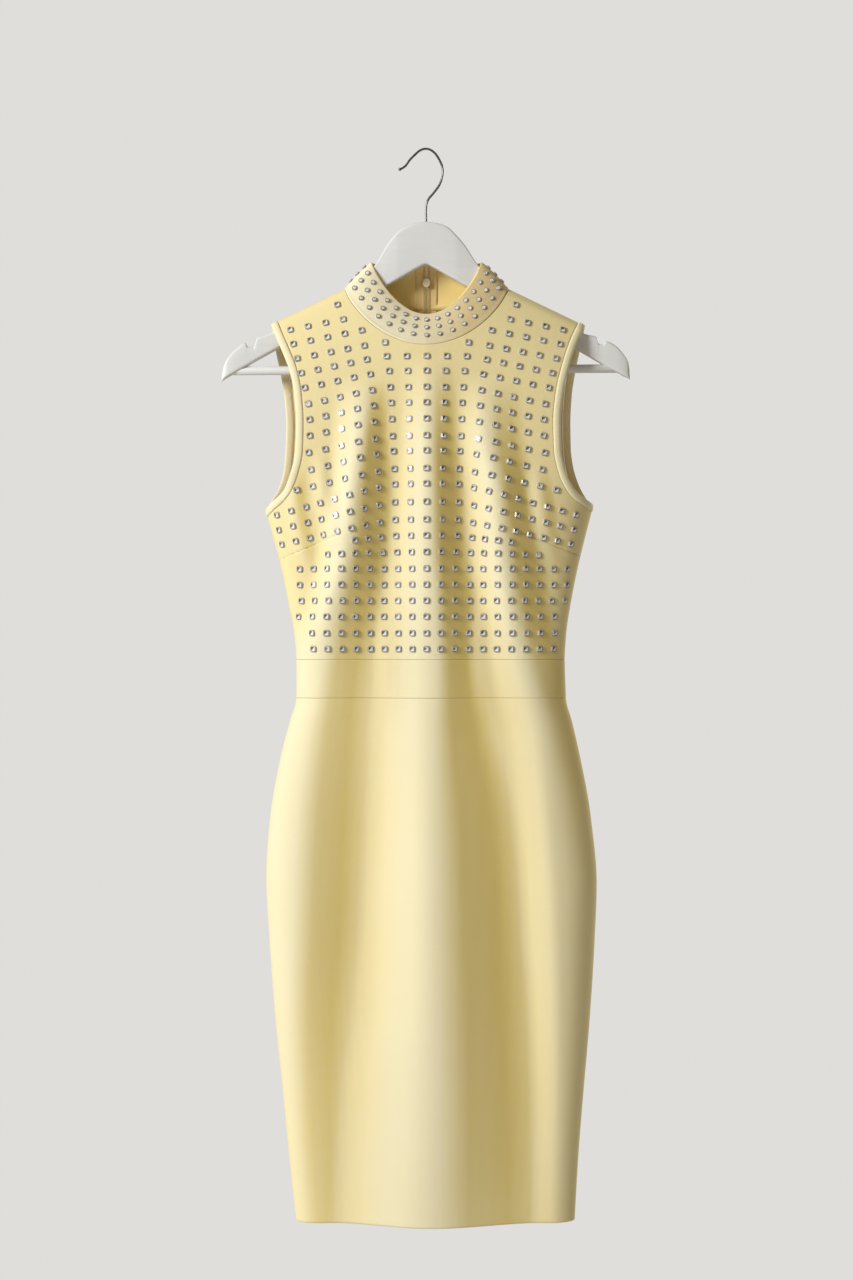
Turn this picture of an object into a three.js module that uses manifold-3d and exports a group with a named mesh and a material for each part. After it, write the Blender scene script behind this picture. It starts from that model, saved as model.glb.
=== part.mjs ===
// A sleeveless bodycon dress in heavy stretch knit, studded on its bodice and collar, on a wooden hanger.
// Millimetres, Z up. The front faces -Y, the side seams lie at y = 0, and the hook's crown rests at 0, 0, 0.
import * as THREE from "three";
import Module from "manifold-3d";

const wasm = await Module();
wasm.setup();

// Driving sizes
const CLOTH = 2; // wall of the heavy knit
const SEAM = 0.3; // space between two pieces at a seam
const WAIST_TOP = -535;
const WAIST_BOTTOM = -575;
const HEM = -1123.5;
const NECK_HALF = 86; // half the width of the neck seam
const NECK_SIDE = -146; // height of the neck seam on the shoulder
const NECK_FRONT_DROP = 62;
const NECK_BACK_DROP = 17;
const SHOULDER_SLOPE = 0.481;
const SHOULDER_ROLL = 9; // how far the cloth rounds over the shoulder
const SHOULDER_EASE = 62; // below the roll the cloth falls outward over this length
const EDGE_POWER = 7; // how square the dress is at its sides
const COLLAR_HALF = 58; // half the width of the collar's top edge
const COLLAR_SIDE = -117.3;
const COLLAR_FRONT_DROP = 56;
const COLLAR_BACK_DROP = 8;
const COLLAR_MIDDLE = 2; // how far behind the side seams the top edge's middle is
const COLLAR_DEPTH = 14.5;
const COLLAR_OPENING = 1.5; // half the opening at the centre back
const BAND_WIDE = 8.4;
const STUD = 7.2;
const STUD_HIGH = 2.2;
const ZIP_HALF = 11.5;
const ZIP_END = -735;
const WIRE = 2.4;
const BAR = 9;
const FRONT_COLUMNS = 32;
const BACK_COLUMNS = 13;

// Names the columns of a short table.
const table = (names, rows) =>
  rows.map((row) => Object.fromEntries(names.map((name, i) => [name, row[i]])));

// The dress from above the shoulders to the hem. Above the underarm the armholes cut into it.
const BODY = table(["height", "halfWidth", "shift", "front", "back"], [
  [-100, 212, 0.5, 40, 28],
  [-184, 206, 0.8, 42, 29],
  [-250, 196, 1.2, 42, 29],
  [-300, 187, 1.6, 41, 28],
  [-350, 178, 2.0, 37, 27],
  [-376, 172, 2.4, 34, 27],
  [-406, 164, 2.8, 31, 26],
  [-432, 157.2, 3.2, 28, 25],
  [-470, 149.3, 3.3, 25, 24],
  [-512, 142.4, 4.0, 22, 23],
  [-535, 141, 4.2, 21, 22],
  [-575, 141.6, 4.8, 21, 22],
  [-600, 148.2, 4.6, 21, 23],
  [-640, 157.9, 4.0, 22, 24],
  [-701, 168.5, 4.2, 22, 26],
  [-766, 173.5, 5.2, 22, 27],
  [-830, 170.7, 5.8, 21, 26],
  [-912, 165.1, 6.3, 19, 24],
  [-990, 157.7, 7.0, 17, 22],
  [-1047, 152.6, 7.5, 16, 21],
  [-1093, 148.8, 8.4, 15, 20],
  [-1123.5, 146.3, 9.3, 15, 20],
]);

// The long folds: where each crest runs, how high it stands and how far it spreads to its two sides.
const FOLD = ["height", "x", "crest", "left", "right"];
const FRONT_FOLDS = [
  table(FOLD, [
    [-220, 7, 0, 40, 40],
    [-300, 7, 9, 38, 38],
    [-370, 7, 15, 38, 40],
    [-470, 7, 17, 42, 46],
    [-525, 7, 15, 50, 52],
    [-567, 7, 14, 60, 62],
    [-640, 7, 20, 66, 70],
    [-755, 7, 27, 72, 80],
    [-890, 7, 28, 80, 86],
    [-1124, 11, 26, 92, 84],
  ]),
  table(FOLD, [
    [-240, -62, 0, 36, 36],
    [-300, -63, 8, 34, 38],
    [-370, -70, 13, 28, 42],
    [-430, -85, 15, 34, 56],
    [-470, -90, 13, 36, 58],
    [-525, -98, 8, 36, 52],
    [-567, -105, 6, 38, 50],
    [-640, -114, 7, 44, 52],
    [-755, -126, 9, 44, 60],
    [-890, -134, 9, 44, 60],
    [-1124, -130, 5, 34, 48],
  ]),
  table(FOLD, [
    [-240, 70, 0, 36, 36],
    [-300, 70, 8, 34, 36],
    [-370, 76, 14, 38, 30],
    [-430, 87, 14, 42, 36],
    [-470, 91, 12, 44, 40],
    [-525, 95, 8, 46, 38],
    [-567, 108, 6, 44, 38],
    [-640, 122, 7, 52, 42],
    [-755, 141, 9, 54, 42],
    [-890, 145, 9, 56, 40],
    [-1124, 139, 4, 46, 34],
  ]),
];
const BACK_FOLDS = [
  table(FOLD, [
    [-235, -62, 0, 44, 34],
    [-400, -64, 8, 46, 40],
    [-535, -58, 7, 44, 40],
    [-700, -64, 11, 50, 46],
    [-900, -70, 16, 56, 52],
    [-1124, -72, 15, 60, 54],
  ]),
  table(FOLD, [
    [-245, 66, 0, 36, 44],
    [-400, 66, 7, 42, 48],
    [-535, 63, 6, 42, 44],
    [-700, 70, 10, 48, 52],
    [-900, 78, 14, 58, 56],
    [-1124, 82, 16, 62, 54],
  ]),
  table(FOLD, [
    [-600, 2, 0, 14, 14],
    [-800, 4, 3, 40, 40],
    [-1124, 6, 9, 52, 50],
  ]),
];

// The panels' edges round the armholes, from the underarm, share 0, to the shoulder, share 1.
const ARMHOLE = ["share", "leftX", "leftZ", "rightX", "rightZ"];
const FRONT_ARMHOLE = table(ARMHOLE, [
  [0, -166, -386, 170.8, -380.6],
  [0.055, -159.4, -379.4, 163.6, -375.2],
  [0.11, -150, -372, 153.2, -368.4],
  [0.18, -139.7, -359.5, 143.3, -356.5],
  [0.27, -132, -340.5, 135.3, -338],
  [0.36, -128, -321, 131.6, -319],
  [0.48, -127.3, -293.5, 131, -291.5],
  [0.6, -129.2, -266.5, 133.6, -265],
  [0.72, -134.2, -240, 139.4, -239],
  [0.82, -141.8, -218.5, 145.6, -217.5],
  [0.92, -149.8, -197.5, 152.9, -196.8],
  [1, -156, -179.7, 159.3, -181.3],
]);
const BACK_ARMHOLE = table(ARMHOLE, [
  [0, -166, -386, 170.8, -380.6],
  [0.09, -157.2, -371.5, 161.2, -368],
  [0.17, -148.6, -356.5, 153.2, -352.5],
  [0.27, -143, -336, 147, -332],
  [0.36, -141.2, -316.5, 144.7, -314],
  [0.49, -140.3, -289, 144.2, -286.5],
  [0.62, -142.2, -261, 145.6, -259],
  [0.75, -146.6, -233, 149.6, -231.5],
  [0.85, -150.8, -212, 153.5, -211.5],
  [1, -156, -179.7, 159.3, -181.3],
]);
const ARMHOLE_SHARES = [0, 0.02, 0.05, 0.09, 0.14, 0.19, 0.25, 0.31, 0.37, 0.43, 0.49, 0.55, 0.61, 0.67,
  0.73, 0.79, 0.85, 0.9, 0.945, 0.975, 0.992, 1];

// The rows of studs: the first column they fill and the last on either side, the pitch near the centre
// and further out, and the fall of the row for each column past the second.
const STUDS = table(["height", "from", "left", "right", "inner", "outer", "fall"], [
  [-159.7, 4, 4, 4, 22.5, 20.4, 3.4],
  [-175.3, 4, 7, 7, 21.5, 18.6, 3.4],
  [-189.4, 3, 7, 7, 22.5, 17.8, 3.4],
  [-205.9, 2, 7, 7, 21.6, 17.8, 3.4],
  [-220.4, 0, 7, 7, 20.7, 17, 3.4],
  [-235.9, 0, 7, 7, 19.5, 17, 3.4],
  [-252.8, 0, 7, 7, 18.9, 16.5, 3.4],
  [-269, 0, 7, 7, 18.4, 16.5, 3.4],
  [-285.8, 0, 7, 7, 18.1, 16.7, 3.4],
  [-303.4, 0, 7, 7, 17.8, 17.2, 3.4],
  [-318.9, 0, 7, 7, 17.2, 17, 3.8],
  [-337.2, 0, 8, 8, 16.7, 16.9, 3.6],
  [-353, 0, 10, 10, 16.4, 15.2, 3.9],
  [-371.6, 0, 10, 10, 16.4, 14.9, 3.5],
  [-389.8, 0, 10, 10, 16.1, 14.6, 3.1],
  [-406.4, 0, 5, 6, 15.8, 13.2, 1.7],
  [-423.3, 0, 7, 8, 15.2, 14.1, 0.5],
  [-440.5, 0, 9, 10, 14.8, 14.6, 0],
  [-457, 0, 9, 10, 14.8, 14.6, 0],
  [-473.6, 0, 9, 10, 14.8, 14.3, 0],
  [-490.1, 0, 9, 9, 14.8, 14.8, 0],
  [-507.3, 0, 8, 9, 14.6, 15, 0],
  [-523.8, 0, 8, 9, 14.5, 14.8, 0],
]);
const COLLAR_STUD_ROWS = [0.27, 0.52, 0.77]; // shares of the collar's height
const COLLAR_STUD_PITCH = 13.4;
const COLLAR_STUDS_EACH_SIDE = 8;

// The hanger's board, seen from the front.
const BOARD = table(["x", "top", "bottom", "thick"], [
  [-215, -238, -243.2, 5],
  [-213, -228, -241.5, 9],
  [-208, -218, -238.5, 11.5],
  [-200, -209.5, -234, 12],
  [-190, -203, -228.2, 12],
  [-187.5, -206.5, -226.8, 12],
  [-181, -207, -223, 12],
  [-177.5, -197.5, -221, 12],
  [-168, -194, -215.7, 12],
  [-120, -170.5, -188.3, 12],
  [-86, -153, -168.9, 11.5],
  [-70, -139, -159.8, 10.5],
  [-54, -121, -150.6, 9.4],
  [-39, -96.5, -142, 11],
  [-29, -85.5, -136.3, 12],
  [-20, -80, -131.2, 12],
  [-9, -76.8, -124.9, 12],
  [0, -76, -121, 12],
  [9, -76.8, -124.9, 12],
  [21, -80.5, -131.8, 12],
  [30, -88.5, -136.9, 12],
  [39, -98.5, -142, 11],
  [54, -121, -150.6, 9.4],
  [70, -139, -159.8, 10.5],
  [86, -153, -168.9, 11.5],
  [120, -170.5, -188.3, 12],
  [168, -194, -215.7, 12],
  [178, -196.5, -221.5, 12],
  [181, -204, -223.2, 12],
  [185, -204, -225.5, 12],
  [188, -201, -227.2, 12],
  [200, -207, -233.5, 12],
  [207, -215, -237.5, 11],
  [211.5, -222, -239.6, 9],
  [213.5, -233, -241, 5],
]);

// The hook's wire, from inside the board to its free tip.
const HOOK = table(["x", "z"], [
  [-0.2, -89],
  [-0.2, -74],
  [-0.2, -60],
  [1.6, -52.5],
  [7.6, -45],
  [13.6, -36.5],
  [16.8, -27],
  [17, -19.5],
  [14.6, -12.5],
  [9.4, -4],
  [3.6, 0.4],
  [-1.6, 1.25],
  [-7, -0.6],
  [-13.2, -6],
  [-18, -11],
  [-22, -16.6],
  [-25.3, -19],
  [-29.6, -21],
]);

// Smooth values between the rows of a table, with no overshoot.
function smooth(rows, key, column, at) {
  const sorted = rows[0][key] < rows[rows.length - 1][key] ? rows : [...rows].reverse();
  const x = sorted.map((row) => row[key]);
  const y = sorted.map((row) => row[column]);
  const last = x.length - 1;
  const t = Math.min(Math.max(at, x[0]), x[last]);
  const step = x.slice(1).map((value, i) => value - x[i]);
  const slope = step.map((value, i) => (y[i + 1] - y[i]) / value);
  const tangent = (i) => {
    if (i === 0) return slope[0];
    if (i === last) return slope[last - 1];
    if (slope[i - 1] * slope[i] <= 0) return 0;
    const a = 2 * step[i] + step[i - 1];
    const b = step[i] + 2 * step[i - 1];
    return (a + b) / (a / slope[i - 1] + b / slope[i]);
  };
  let i = 0;
  while (i < last - 1 && t > x[i + 1]) i += 1;
  const u = (t - x[i]) / step[i];
  return (
    (1 + 2 * u) * (1 - u) ** 2 * y[i] +
    u * (1 - u) ** 2 * step[i] * tangent(i) +
    u * u * (3 - 2 * u) * y[i + 1] +
    u * u * (u - 1) * step[i] * tangent(i + 1)
  );
}

const between = (a, b, t) => a + (b - a) * t;
const ease = (t) => t * t * (3 - 2 * t);
const vector = (x, y, z) => new THREE.Vector3(x, y, z);
const halfWidth = (z) => smooth(BODY, "height", "halfWidth", z);
const shift = (z) => smooth(BODY, "height", "shift", z);
const shoulder = (x) => NECK_SIDE - (Math.abs(x) - NECK_HALF) * SHOULDER_SLOPE;
const sideEdge = (side, z) => shift(z) + side * halfWidth(z);

// How far one fold lifts the cloth.
function lift(fold, x, z) {
  const crest = smooth(fold, "height", "crest", z);
  const away = x - smooth(fold, "height", "x", z);
  const reach = smooth(fold, "height", away < 0 ? "left" : "right", z);
  return Math.abs(away) < reach ? crest * 0.5 * (1 + Math.cos((Math.PI * away) / reach)) : 0;
}

// How far the front or back stands out from the side seams.
function standOut(face, x, z) {
  const across = Math.min(1, Math.abs(x - shift(z)) / halfWidth(z));
  const round = Math.sqrt(Math.max(0, 1 - across ** EDGE_POWER));
  const below = Math.max(0, shoulder(x) - z) / Math.hypot(1, SHOULDER_SLOPE);
  const roll = Math.sqrt(1 - (1 - Math.min(1, below / SHOULDER_ROLL)) ** 2);
  const depth = smooth(BODY, "height", face < 0 ? "front" : "back", z);
  const fall = (depth - SHOULDER_ROLL) * (1 - Math.exp(-below / SHOULDER_EASE));
  const folds = face < 0 ? FRONT_FOLDS : BACK_FOLDS;
  const lifted = folds.reduce((sum, fold) => sum + lift(fold, x, z), 0);
  return (SHOULDER_ROLL * roll + fall + lifted) * round;
}

const onCloth = (face, x, z) => vector(x, face * (SEAM / 2 + standOut(face, x, z)), z);

// The direction out of the cloth. Along the shoulder and the side seams both faces share one.
function outOfCloth(face, x, z) {
  const below = (shoulder(x) - z) / Math.hypot(1, SHOULDER_SLOPE);
  const inside = halfWidth(z) - Math.abs(x - shift(z));
  if (below < 0.02) return vector(Math.sign(x) * SHOULDER_SLOPE, 0, 1).normalize();
  if (inside < 0.02) return vector(Math.sign(x - shift(z)), 0, 0);
  const h = Math.min(0.4, below / 3, inside / 3);
  const alongX = (standOut(face, x + h, z) - standOut(face, x - h, z)) / (2 * h);
  const alongZ = (standOut(face, x, z + h) - standOut(face, x, z - h)) / (2 * h);
  return vector(-alongX, face, -alongZ).normalize();
}

// The neck seam, from the front's centre, angle 0, over the shoulder, 90, to the back's centre, 180.
function neckSeam(angle) {
  const x = NECK_HALF * Math.sin(angle);
  const c = Math.cos(angle);
  const drop = c > 0 ? NECK_FRONT_DROP : NECK_BACK_DROP;
  return { x, z: NECK_SIDE - drop * Math.abs(c) ** 1.5 };
}

// One place on a bodice panel. along runs from the centre, 0, to the side or armhole, 1 or -1.
function bodicePlace(face, along, row) {
  const side = along < 0 ? -1 : 1;
  const edges = face < 0 ? FRONT_ARMHOLE : BACK_ARMHOLE;
  const edge = (s) => {
    const name = s < 0 ? "left" : "right";
    const share = Math.max(0, row.share);
    const z = smooth(edges, "share", `${name}Z`, share);
    if (row.share <= 0) {
      const low = between(z, WAIST_TOP + SEAM / 2, -row.share);
      return { x: sideEdge(s, low), z: low };
    }
    return { x: smooth(edges, "share", `${name}X`, share), z };
  };
  const left = edge(-1);
  const right = edge(1);
  const t = Math.abs(along);
  const start = smooth(edges, "share", "rightZ", 0);
  const end = smooth(edges, "share", "rightZ", 1);
  const up = Math.min(1, Math.max(0, (right.z - start) / (end - start)));
  const topX = t < 0.5 ? NECK_HALF * Math.sin(Math.PI * t) : between(NECK_HALF, 157.6, 2 * t - 1);
  const spread = between(between(t, Math.sin((Math.PI * t) / 2), 0.6), topX / 157.6, ease(up));
  const middle = (left.x + right.x) / 2;
  const x = middle * (1 - ease(up)) + side * spread * ((right.x - left.x) / 2) +
    ease(up) * middle * Math.max(0, 2 * t - 1);
  const topZ = t < 0.5 ? neckSeam(face < 0 ? Math.PI * t : Math.PI * (1 - t)).z : shoulder(x);
  const level = between(left.z, right.z, (along + 1) / 2);
  const levelEnd = between(shoulder(-156), shoulder(159.3), (along + 1) / 2);
  const z = level + (topZ - levelEnd) * up ** 1.35;
  return { x, z: t >= 0.5 && row.share === 1 ? shoulder(x) : z };
}

// A closed wall between two grids of points. A ring joins its last column to its first.
function wall(outer, inner, ring = false) {
  const rows = outer.length;
  const columns = outer[0].length;
  const points = [...outer.flat(), ...inner.flat()];
  const faces = [];
  const out = (i, j) => i * columns + (j % columns);
  const back = (i, j) => rows * columns + out(i, j);
  const quad = (a, b, c, d) => faces.push([a, b, c], [a, c, d]);
  const spans = ring ? columns : columns - 1;
  for (let i = 0; i < rows - 1; i += 1) {
    for (let j = 0; j < spans; j += 1) {
      quad(out(i, j), out(i, j + 1), out(i + 1, j + 1), out(i + 1, j));
      quad(back(i, j), back(i + 1, j), back(i + 1, j + 1), back(i, j + 1));
    }
  }
  for (let j = 0; j < spans; j += 1) {
    quad(out(0, j), back(0, j), back(0, j + 1), out(0, j + 1));
    quad(out(rows - 1, j), out(rows - 1, j + 1), back(rows - 1, j + 1), back(rows - 1, j));
  }
  for (let i = 0; i < rows - 1 && !ring; i += 1) {
    quad(out(i, 0), out(i + 1, 0), back(i + 1, 0), back(i, 0));
    quad(out(i, columns - 1), back(i, columns - 1), back(i + 1, columns - 1), out(i + 1, columns - 1));
  }
  return facingOut({ points, faces });
}

// A tube through sections that each hold the same count of points.
function loft(sections, closed = false) {
  const sides = sections[0].length;
  const points = sections.flat();
  const faces = [];
  const count = closed ? sections.length : sections.length - 1;
  for (let i = 0; i < count; i += 1) {
    const next = ((i + 1) % sections.length) * sides;
    for (let j = 0; j < sides; j += 1) {
      const k = (j + 1) % sides;
      faces.push([i * sides + j, i * sides + k, next + k]);
      faces.push([i * sides + j, next + k, next + j]);
    }
  }
  if (!closed) {
    const end = (sections.length - 1) * sides;
    for (const [a, b, c] of capFaces(sections[0])) faces.push([c, b, a]);
    for (const [a, b, c] of capFaces(sections[sections.length - 1])) faces.push([end + a, end + b, end + c]);
  }
  return facingOut({ points, faces });
}

// The flat end of a tube, in triangles.
function capFaces(section) {
  const normal = vector(0, 0, 0);
  section.forEach((p, i) => normal.add(p.clone().cross(section[(i + 1) % section.length])));
  const u = section[1].clone().sub(section[0]).normalize();
  const v = normal.normalize().clone().cross(u);
  const flat = section.map((p) => new THREE.Vector2(p.dot(u), p.dot(v)));
  return THREE.ShapeUtils.triangulateShape(flat, []);
}

// Turns a body's faces outward.
function facingOut(body) {
  let volume = 0;
  for (const [a, b, c] of body.faces) {
    volume += body.points[a].dot(body.points[b].clone().cross(body.points[c]));
  }
  if (volume < 0) body.faces = body.faces.map(([a, b, c]) => [a, c, b]);
  return body;
}

function asSolid(body) {
  return new wasm.Manifold(
    new wasm.Mesh({
      numProp: 3,
      vertProperties: new Float32Array(body.points.flatMap((p) => [p.x, p.y, p.z])),
      triVerts: new Uint32Array(body.faces.flat()),
    }),
  );
}

function fromSolid(solid) {
  const mesh = solid.getMesh();
  const points = [];
  for (let i = 0; i < mesh.vertProperties.length; i += mesh.numProp) {
    points.push(vector(...mesh.vertProperties.slice(i, i + 3)));
  }
  const faces = [];
  for (let i = 0; i < mesh.triVerts.length; i += 3) faces.push([...mesh.triVerts.slice(i, i + 3)]);
  return { points, faces };
}

const dress = new THREE.Group();
dress.name = "bodycon_dress";

function add(name, body) {
  const geometry = new THREE.BufferGeometry();
  const values = body.points.flatMap((p) => [p.x, p.y, p.z]);
  geometry.setAttribute("position", new THREE.Float32BufferAttribute(values, 3));
  geometry.setIndex(body.faces.flat());
  geometry.computeVertexNormals();
  const mesh = new THREE.Mesh(geometry);
  mesh.name = name;
  dress.add(mesh);
}

// Triangles between scattered points that have flat places u and v (Bowyer and Watson's way), kept
// where they lie inside the outline, whose points come first.
function triangles(points, outlineCount) {
  const flat = points.map((p, i) => [p.u + 0.004 * Math.sin(i * 12.9), p.v + 0.004 * Math.cos(i * 7.7)]);
  const n = flat.length;
  flat.push([-9e4, -9e4], [9e4, -9e4], [0, 9e4]);
  const made = (a, b, c) => {
    const [ax, ay] = flat[a];
    const bx = flat[b][0] - ax;
    const by = flat[b][1] - ay;
    const cx = flat[c][0] - ax;
    const cy = flat[c][1] - ay;
    const d = 2 * (bx * cy - by * cx);
    const x = (cy * (bx * bx + by * by) - by * (cx * cx + cy * cy)) / d;
    const y = (bx * (cx * cx + cy * cy) - cx * (bx * bx + by * by)) / d;
    return { a, b, c, x: ax + x, y: ay + y, r: x * x + y * y };
  };
  let list = [made(n, n + 1, n + 2)];
  for (let i = 0; i < n; i += 1) {
    const [x, y] = flat[i];
    const rim = new Map();
    const kept = [];
    for (const t of list) {
      if ((t.x - x) ** 2 + (t.y - y) ** 2 > t.r) {
        kept.push(t);
        continue;
      }
      for (const [p, q] of [[t.a, t.b], [t.b, t.c], [t.c, t.a]]) {
        if (!rim.delete(`${q} ${p}`)) rim.set(`${p} ${q}`, [p, q]);
      }
    }
    for (const [p, q] of rim.values()) kept.push(made(p, q, i));
    list = kept;
  }
  const turn = (a, b, c) =>
    (flat[b][0] - flat[a][0]) * (flat[c][1] - flat[a][1]) -
    (flat[b][1] - flat[a][1]) * (flat[c][0] - flat[a][0]);
  const cross = (a, b, p, q) =>
    new Set([a, b, p, q]).size === 4 && turn(a, b, p) * turn(a, b, q) < 0 && turn(p, q, a) * turn(p, q, b) < 0;
  const edgesOf = (t) => [[t.a, t.b, t.c], [t.b, t.c, t.a], [t.c, t.a, t.b]];
  // An outline edge that is missing is made by turning the edges that cross it.
  for (let i = 0; i < outlineCount; i += 1) {
    const j = (i + 1) % outlineCount;
    for (let tries = 0; tries < 80; tries += 1) {
      const around = list.filter((t) => Math.max(t.a, t.b, t.c) < n);
      if (around.some((t) => edgesOf(t).some(([p, q]) => (p === i && q === j) || (p === j && q === i)))) break;
      const crossing = around.flatMap((t) => edgesOf(t).map((e) => [t, ...e])).filter(([, p, q]) => cross(i, j, p, q));
      const [one, p, q, r] = crossing[tries % crossing.length];
      const pair = crossing.find(([, a, b]) => a === q && b === p);
      if (!pair || !cross(r, pair[3], p, q)) continue;
      list = list.filter((t) => t !== one && t !== pair[0]);
      list.push({ a: r, b: p, c: pair[3] }, { a: pair[3], b: q, c: r });
    }
  }
  const inside = (x, y) => {
    let odd = false;
    for (let i = 0, j = outlineCount - 1; i < outlineCount; j = i, i += 1) {
      const [ax, ay] = flat[i];
      const [bx, by] = flat[j];
      if (ay > y !== by > y && x < ((bx - ax) * (y - ay)) / (by - ay) + ax) odd = !odd;
    }
    return odd;
  };
  return list
    .filter(({ a, b, c }) => Math.max(a, b, c) < n && inside(
      (flat[a][0] + flat[b][0] + flat[c][0]) / 3,
      (flat[a][1] + flat[b][1] + flat[c][1]) / 3,
    ))
    .map(({ a, b, c }) => [a, b, c]);
}

// A wall whose outer points carry studs over a plain inside. The outline gives both faces' edges.
function studdedWall(outline, outside, inside) {
  const outer = [...outline.map((p) => ({ u: p.u, v: p.v, at: p.outer })), ...outside];
  const inner = [...outline.map((p) => ({ u: p.u, v: p.v, at: p.inner })), ...inside];
  const faces = triangles(outer, outline.length);
  const first = outer.length;
  const back = triangles(inner, outline.length).map((face) => face.map((i) => i + first));
  const used = new Set(faces.flatMap(([a, b, c]) => [`${a} ${b}`, `${b} ${c}`, `${c} ${a}`]));
  const edges = outline.map((p, i) => {
    const j = (i + 1) % outline.length;
    return used.has(`${i} ${j}`) ? [i, j] : [j, i];
  });
  const sides = edges.flatMap(([i, j]) => [[j, i, first + i], [j, first + i, first + j]]);
  // The faces run anticlockwise over u and v, so the inside is turned over and the sides join them.
  const body = { points: [...outer, ...inner].map((p) => p.at), faces: [] };
  body.faces = [...faces, ...back.map(([a, b, c]) => [c, b, a]), ...sides];
  return facingOut(body);
}

// The eight raised points of a square stud with a flat table: four on the cloth, four above it.
function studPoints(corner) {
  const square = (half, height) =>
    [[-1, -1], [1, -1], [1, 1], [-1, 1]].map(([a, b]) => corner(a * half, b * half, height));
  return [...square(STUD / 2, 0), ...square(STUD * 0.28, STUD_HIGH)];
}

// Rows of a panel's points, with the direction out of the cloth at each.
const panelPoint = (face, { x, z }) => ({ at: onCloth(face, x, z), out: outOfCloth(face, x, z) });
const outerOf = (grid) => grid.map((row) => row.map((p) => p.at.clone()));
const innerOf = (grid, depth = CLOTH) =>
  grid.map((row) => row.map((p) => p.at.clone().addScaledVector(p.out, -depth)));
const panel = (grid) => wall(outerOf(grid), innerOf(grid));

// The shares across a back half. The first strip, beside the zip, is as wide as the tape needs.
const frontShares = Array.from({ length: FRONT_COLUMNS + 1 }, (_, i) => (2 * i) / FRONT_COLUMNS - 1);
const backShares = Array.from({ length: BACK_COLUMNS }, (_, i) => i / (BACK_COLUMNS - 1));
const bodiceRows = [-1, -0.66, -0.33].map((share) => ({ share }))
  .concat(ARMHOLE_SHARES.map((share) => ({ share })));

// The back's places run from the zip, whose edge is straight, to the side.
function backPlace(side, index, place) {
  const { x, z } = place;
  if (index === 0) return { x: (side * SEAM) / 2, z };
  if (index === 1) return { x: side * 12, z };
  return { x, z };
}

// Bodice
const frontGrid = bodiceRows.map((row) =>
  frontShares.map((along) => panelPoint(-1, bodicePlace(-1, along, row))),
);
const backGrid = {};
for (const side of [-1, 1]) {
  backGrid[side] = bodiceRows.map((row) =>
    backShares.map((share, i) => panelPoint(1, backPlace(side, i, bodicePlace(1, side * share, row)))),
  );
}
const flatPlace = (x, z) => ({
  u: 140 * Math.asin(Math.max(-1, Math.min(1, (x - shift(z)) / halfWidth(z)))),
  v: z,
});
const frontStuds = [];
const frontCentres = [];
for (const row of STUDS) {
  for (let k = -row.left; k <= row.right; k += 1) {
    const n = Math.abs(k);
    if (n < row.from) continue;
    const x = Math.sign(k) * (Math.min(n, 3) * row.inner + Math.max(0, n - 3) * row.outer);
    const z = row.height - Math.max(0, n - 2) * row.fall;
    const out = outOfCloth(-1, x, z);
    const tilt = n > 2 ? (-Math.sign(k) * row.fall) / row.outer : 0;
    const u = vector(1, 0, tilt).addScaledVector(out, -out.x - out.z * tilt).normalize();
    const v = u.clone().cross(out);
    const centre = onCloth(-1, x, z);
    frontCentres.push({ ...flatPlace(x, z), at: centre, out });
    frontStuds.push(...studPoints((a, b, height) => {
      const p = centre.clone().addScaledVector(u, a).addScaledVector(v, b);
      const foot = onCloth(-1, p.x, p.z);
      return { ...flatPlace(p.x, p.z), at: foot.addScaledVector(out, height) };
    }));
  }
}
const clearOfStuds = (p, clear) => frontCentres.every((c) => c.at.distanceTo(p.at) > clear);
const flatPoint = (p) => ({ ...flatPlace(p.at.x, p.at.z), at: p.at, out: p.out });
const topRow = frontGrid.length - 1;
const lastColumn = FRONT_COLUMNS;
const frontOutline = [
  ...frontGrid[0],
  ...frontGrid.slice(1, topRow).map((row) => row[lastColumn]),
  ...[...frontGrid[topRow]].reverse(),
  ...frontGrid.slice(1, topRow).map((row) => row[0]).reverse(),
].map((p) => ({
  ...flatPlace(p.at.x, p.at.z),
  outer: p.at,
  inner: p.at.clone().addScaledVector(p.out, -CLOTH),
}));
const frontFill = frontGrid
  .slice(1, topRow)
  .flatMap((row) => row.slice(1, lastColumn).filter((p, j) => j % 2 === 1 || j < 4 || j > 26))
  .filter((p) => clearOfStuds(p, 9.5) && frontOutline.every((q) => q.outer.distanceTo(p.at) > 5))
  .map(flatPoint);
const below = (p) => p.at.clone().addScaledVector(p.out, -CLOTH);
add("bodice_front", studdedWall(
  frontOutline,
  [...frontStuds, ...frontFill],
  [...frontCentres, ...frontFill].map((p) => ({ u: p.u, v: p.v, at: below(p) })),
));
add("bodice_back_left", panel(backGrid[-1]));
add("bodice_back_right", panel(backGrid[1]));

// Waistband and skirt, each from rows at set heights
function levelGrid(face, side, heights) {
  return heights.map((z) => {
    const shares = face < 0 ? frontShares : backShares.map((share) => side * share);
    return shares.map((share, i) => {
      const t = Math.abs(share);
      const spread = between(t, Math.sin((Math.PI * t) / 2), 0.6);
      const x = shift(z) + Math.sign(share) * spread * halfWidth(z);
      return panelPoint(face, face < 0 ? { x, z } : backPlace(side, i, { x, z }));
    });
  });
}
const waistHeights = [WAIST_TOP - SEAM / 2, -555, WAIST_BOTTOM + SEAM / 2];
const skirtHeights = [WAIST_BOTTOM - SEAM / 2, -612, -660, ZIP_END, -800, -870, -945, -1020, -1080, HEM];
const waistBack = {};
const skirtBack = {};
add("waistband_front", panel(levelGrid(-1, 0, waistHeights)));
for (const side of [-1, 1]) {
  waistBack[side] = levelGrid(1, side, waistHeights);
  skirtBack[side] = levelGrid(1, side, skirtHeights);
}
add("waistband_back_left", panel(waistBack[-1]));
add("waistband_back_right", panel(waistBack[1]));
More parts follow.
